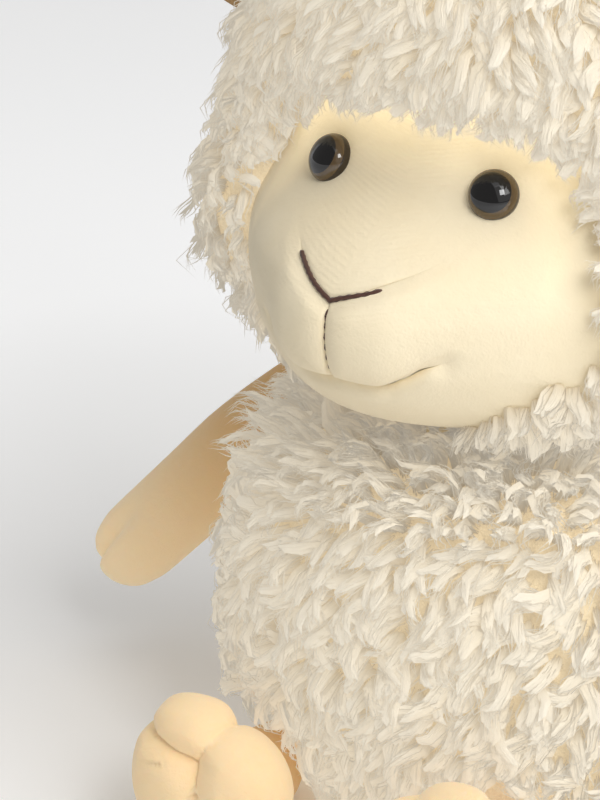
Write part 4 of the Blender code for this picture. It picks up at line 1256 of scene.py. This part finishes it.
class Paint:
    """A material and the nodes of its tree."""

    def __init__(self, name, **constants):
        self.material = bpy.data.materials.new(name)
        self.material.use_nodes = True
        self.tree = self.material.node_tree
        self.shader = self.tree.nodes["Principled BSDF"]
        self.set(**constants)

    def set(self, **values):
        for key, value in values.items():
            socket = self.shader.inputs[key.replace("_", " ")]
            if isinstance(value, Number):
                self.tree.links.new(value.socket, socket)
            else:
                socket.default_value = (*value, 1) if isinstance(value, tuple) else value

    def node(self, kind, settings=None, inputs=None, output=0):
        node = self.tree.nodes.new(kind)
        for key, value in (settings or {}).items():
            setattr(node, key, value)
        for key, value in (inputs or {}).items():
            if isinstance(value, Number):
                self.tree.links.new(value.socket, node.inputs[key])
            else:
                node.inputs[key].default_value = value
        return Number(self, node.outputs[output])

    def place(self):
        return self.node("ShaderNodeTexCoord", output="Object")

    def light_path(self, kind):
        return self.node("ShaderNodeLightPath", output=kind)

    def attribute(self, name):
        return self.node("ShaderNodeAttribute", {"attribute_name": name}, output="Fac")

    def noise(self, scale, detail=2.0):
        values = {"Vector": self.place(), "Scale": scale, "Detail": detail}
        return self.node("ShaderNodeTexNoise", None, values)

    def mix(self, factor, first, second):
        values = {0: factor, 6: self.colour(first), 7: self.colour(second)}
        return self.node("ShaderNodeMix", {"data_type": "RGBA"}, values, output=2)

    def colour(self, value):
        return value if isinstance(value, Number) else (*value, 1)

    def bump(self, height, distance, strength=1.0):
        values = {"Height": height, "Distance": distance, "Strength": strength}
        return self.node("ShaderNodeBump", None, values)


# Painted glow of the limbs' velour, standing in for light bounced inside the cloth, and the dimmer one near
# the root, painted shade where the limb meets the body
LIMB_GLOW = (1.0, 0.76, 0.46)
LIMB_ROOT_GLOW = (0.35, 0.22, 0.10)


def velour_paint(name, pale, deep, rib=0.0, warm=None):
    """Short nap over a knit, with fine ribs where it is worn thin.

    Light soaks into a warm one and comes out warmer. A warm one also takes a painted warm shade
    in its colour near where the limb is sewn on, and a painted glow, standing in for light bounced
    inside the cloth, that is dimmer there as painted shade.
    """
    paint = Paint(name, Roughness=0.85, Sheen_Weight=0.25, Sheen_Roughness=0.45)
    paint.set(Sheen_Tint=(1.0, 0.96, 0.90), Specular_IOR_Level=0.25)
    patches = paint.noise(45.0, 3.0)
    nap = paint.noise(1500.0, 2.0)
    colour = paint.mix(patches, deep, pale)
    if warm:
        paint.set(Subsurface_Weight=0.6, Subsurface_Scale=0.0025)
        paint.shader.inputs["Subsurface Radius"].default_value = (1.0, 0.50, 0.25)
        # Painted warm shade near where the limb is sewn on
        colour = paint.mix(paint.attribute("root"), colour, warm)
        glow = paint.mix(paint.attribute("root"), LIMB_GLOW, LIMB_ROOT_GLOW)
        paint.set(Emission_Color=glow, Emission_Strength=0.25)
    paint.set(Base_Color=colour)
    height = nap * 0.00012 + paint.noise(330.0, 2.0) * 0.00022
    # The face's version: fine ribs, and a painted warm glow, painted bounce light, strongest just below the
    # hood's rim
    if rib:
        paint.set(Emission_Strength=0.62)
        paint.set(Emission_Color=paint.mix(paint.attribute("bounce"), (0.0, 0.0, 0.0), (1.0, 0.78, 0.42)))
        ribs = (paint.attribute("rib") * (TAU / 0.0011)).sine()
        height = height + ribs * rib * paint.noise(60.0, 1.0) * paint.attribute("worn")
    paint.set(Normal=paint.bump(height, 1.0))
    return paint.material


# Colour of the wool's painted glow at the tips of the strands, standing in for light bounced among the fibres
WOOL_GLOW = (1.0, 0.91, 0.76)


def wool_paint():
    """Pale fibres with streaks along each strand, darker and warmer towards the root as painted shade between
    the locks.

    Light that goes from fibre to fibre many times is what fills real wool, and a painted warm glow stands for
    it, dimmer towards the roots and under the chin as painted shade.
    """
    paint = Paint("wool locks", Roughness=1.0, Specular_IOR_Level=0.1, Emission_Strength=0.46)
    along = paint.attribute("along")
    tone = paint.attribute("tone")
    where = paint.node("ShaderNodeCombineXYZ", None, {
        "X": paint.attribute("fibre_x") * 1.5, "Y": paint.attribute("fibre_y") * 1.5,
        "Z": along * 0.35 + tone * 40.0})
    streaks = paint.node("ShaderNodeTexNoise", None, {"Vector": where, "Scale": 3.2, "Detail": 3.0})
    # Darker and warmer towards each strand's root: painted shade between the locks
    body = paint.mix(along ** 0.5, srgb(184, 166, 130), srgb(203, 199, 188))
    body = paint.mix(tone * 0.3, body, srgb(192, 182, 160))
    paint.set(Base_Color=paint.mix(streaks * 0.3, body, srgb(186, 172, 144)))
    glow = paint.mix(along ** 0.5, (0.80, 0.65, 0.44), WOOL_GLOW)
    paint.set(Emission_Color=paint.mix(paint.attribute("glow"), (0.10, 0.07, 0.04), glow))
    paint.set(Normal=paint.bump(streaks, 0.0003))
    return paint.material


def skin_paint():
    # The wool's ground also has a painted warm glow, standing in for light bounced among the fibres
    paint = Paint("wool ground", Roughness=0.9, Emission_Strength=0.35, Emission_Color=(0.96, 0.80, 0.56))
    paint.set(Base_Color=paint.mix(paint.noise(120.0, 3.0), srgb(208, 190, 154), srgb(222, 206, 174)))
    paint.set(Normal=paint.bump(paint.noise(420.0, 3.0) * 0.002, 1.0))
    return paint.material


def eye_paint():
    """Black pupil under a brown rim, both under one clear gloss."""
    paint = Paint("eye plastic", Roughness=0.04, Specular_IOR_Level=0.7)
    out = paint.attribute("out")
    rim = out.over(0.79)
    edge = out.over(0.975)
    colour = paint.mix(rim, srgb(5, 3, 4), srgb(88, 70, 44))
    paint.set(Base_Color=paint.mix(edge, colour, srgb(44, 32, 20)))
    return paint.material


def thread_paint():
    paint = Paint("brown thread", Roughness=0.6, Sheen_Weight=0.2)
    paint.set(Base_Color=paint.mix(paint.noise(900.0, 2.0), srgb(58, 30, 22), srgb(92, 56, 42)))
    paint.set(Normal=paint.bump(paint.noise(2600.0, 1.0) * 0.0001, 1.0))
    return paint.material


def plain_paint(name, pale, deep, roughness, scale):
    paint = Paint(name, Roughness=roughness)
    paint.set(Base_Color=paint.mix(paint.noise(scale, 2.0), deep, pale))
    paint.set(Normal=paint.bump(paint.noise(scale * 4, 2.0) * 0.0003, 1.0))
    return paint.material


def repaint(nodes, paint):
    for node in nodes:
        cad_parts[node].data.materials.clear()
        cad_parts[node].data.materials.append(paint)


# Floor, light and camera

FLOOR_REACH = 6.0
BEND_FROM = 3.6
BEND_RADIUS = 0.8
WALL_HEIGHT = 4.0
WARM = (1.0, 0.985, 0.955)
WHITE = (1, 1, 1)

# Bearing and height from the camera's side in degrees, distance, size, watts and colour
LAMPS = {
    "key": (46, 44, 1.4, 0.9, 7.1, WARM),
    "soft": (32, 34, 1.7, 2.0, 5.2, WARM),
    "top": (20, 80, 1.5, 1.2, 3.3, WHITE),
    "glint": (20, 37, 1.2, 0.34, 3.2, WHITE),
}


def build_stage():
    """A floor that curves up into a backdrop: a profile carried straight across."""
    bend = np.linspace(0, math.pi / 2, 16)
    near = np.array([[-FLOOR_REACH, 0.0]])
    out = BEND_FROM + BEND_RADIUS * np.sin(bend)
    up = BEND_RADIUS - BEND_RADIUS * np.cos(bend)
    curve = np.stack([out, up], axis=1)
    profile = np.concatenate([near, curve, [[BEND_FROM + BEND_RADIUS, WALL_HEIGHT]]])
    turn = math.radians(AZIMUTH_DEGREES)
    back = np.array([-math.sin(turn), math.cos(turn), 0])
    across = np.array([math.cos(turn), math.sin(turn), 0])
    steps = np.linspace(-FLOOR_REACH, FLOOR_REACH, 9)
    points = (profile[:, None, 0:1] * back + steps[None, :, None] * across
              + profile[:, None, 1:2] * np.array([0, 0, 1.0]))
    paint = Paint("pale backdrop", Roughness=0.9)
    # The backdrop is darker near the sheep: a slightly darker colour and a much weaker camera-seen glow
    # within about 0.4 m of it, a painted shadow round the sheep; farther out the glow makes it pale
    away = paint.node("ShaderNodeVectorMath", {"operation": "LENGTH"}, {0: paint.place()}, output=1)
    far = paint.node("ShaderNodeMapRange", None, {"Value": away, "From Min": 0.10, "From Max": 0.42})
    beyond = paint.node("ShaderNodeMapRange", None, {"Value": away, "From Min": 0.9, "From Max": 3.0})
    paint.set(Base_Color=paint.mix(far, srgb(247, 247, 247), srgb(249, 250, 252)))
    seen = paint.light_path("Is Camera Ray") + paint.light_path("Is Glossy Ray")
    seen = seen + paint.light_path("Is Transmission Ray")
    share = 0.12 + far * 0.32 + beyond * 0.56
    paint.set(Emission_Strength=0.68)
    paint.set(Emission_Color=paint.mix(seen * share, (0.0, 0.0, 0.0), (1.0, 1.0, 1.0)))
    obj = make_piece("backdrop", points, [grid_faces(len(profile), len(steps))], paint.material)


def build_light(name, place, size, power, colour):
    light = bpy.data.lights.new(name, "AREA")
    light.shape = "SQUARE"
    light.size = size
    light.energy = power
    light.color = colour
    obj = bpy.data.objects.new(name, light)
    obj.location = place
    point_at(obj, CAMERA_TARGET)
    bpy.context.scene.collection.objects.link(obj)


def point_at(obj, aim):
    direction = Vector(aim) - Vector(obj.location)
    obj.rotation_euler = direction.to_track_quat("-Z", "Y").to_euler()


def toward_camera(azimuth, elevation, distance):
    """A place at this bearing from the camera's own side, round the camera's target."""
    a, e = math.radians(AZIMUTH_DEGREES + azimuth), math.radians(elevation)
    away = np.array([math.sin(a) * math.cos(e), -math.cos(a) * math.cos(e), math.sin(e)])
    return tuple(np.array(CAMERA_TARGET) + distance * away)


def build_lights():
    for name, (azimuth, elevation, distance, size, power, colour) in LAMPS.items():
        build_light(name, toward_camera(azimuth, elevation, distance), size, power, colour)
    world = bpy.data.worlds.new("pale room")
    world.use_nodes = True
    background = world.node_tree.nodes["Background"]
    background.inputs["Color"].default_value = (1.0, 0.985, 0.96, 1)
    background.inputs["Strength"].default_value = 0.31
    bpy.context.scene.world = world


def build_camera():
    data = bpy.data.cameras.new("camera")
    data.lens = CAMERA_LENS
    data.sensor_width = 36
    data.clip_end = 20
    camera = bpy.data.objects.new("camera", data)
    camera.location = toward_camera(0, ELEVATION_DEGREES, CAMERA_DISTANCE)
    point_at(camera, CAMERA_TARGET)
    bpy.context.scene.collection.objects.link(camera)
    bpy.context.scene.camera = camera


def main():
    wool = wool_paint()
    ground = skin_paint()
    face = velour_paint("face velour", srgb(250, 238, 210), srgb(245, 229, 194), rib=0.00005)
    limb = velour_paint("limb velour", srgb(228, 208, 174), srgb(221, 197, 156), warm=srgb(206, 166, 112))
    # Ear lining: a deeper tan than the limbs, partly the lining's own colour and partly painted shade of the
    # cupped ear
    shaded_lining_tan = velour_paint("tan velour", srgb(190, 156, 112), srgb(172, 136, 92))
    thread = thread_paint()
    build_camera()
    build_lights()
    build_stage()
    build_face(face)
    build_threads(thread)
    eye = eye_paint()
    for word, side in (("left", 1), ("right", -1)):
        build_eye(word, side, eye)
        build_arm(word, side, limb)
        build_leg(word, side, limb)
        build_ear(word, side, limb, shaded_lining_tan)
    build_neck(face)
    build_tail(ground, wool)
    build_body(ground, wool)
    build_hood(ground, wool)
    fibre = plain_paint("stuffing fibre", srgb(238, 232, 214), srgb(226, 216, 190), 0.95, 300.0)
    washer = plain_paint("washer plastic", srgb(232, 232, 228), srgb(222, 222, 218), 0.45, 200.0)
    repaint(["head_stuffing"], fibre)
    repaint(["eye_washer_left", "eye_washer_right"], washer)


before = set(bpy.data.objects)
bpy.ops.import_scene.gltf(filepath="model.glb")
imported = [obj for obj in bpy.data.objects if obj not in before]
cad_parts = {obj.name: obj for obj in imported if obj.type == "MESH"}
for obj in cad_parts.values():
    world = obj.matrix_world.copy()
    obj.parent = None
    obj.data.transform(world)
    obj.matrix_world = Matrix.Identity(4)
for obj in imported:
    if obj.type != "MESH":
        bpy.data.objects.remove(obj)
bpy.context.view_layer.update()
bpy.context.scene.view_settings.view_transform = "Standard"
main()
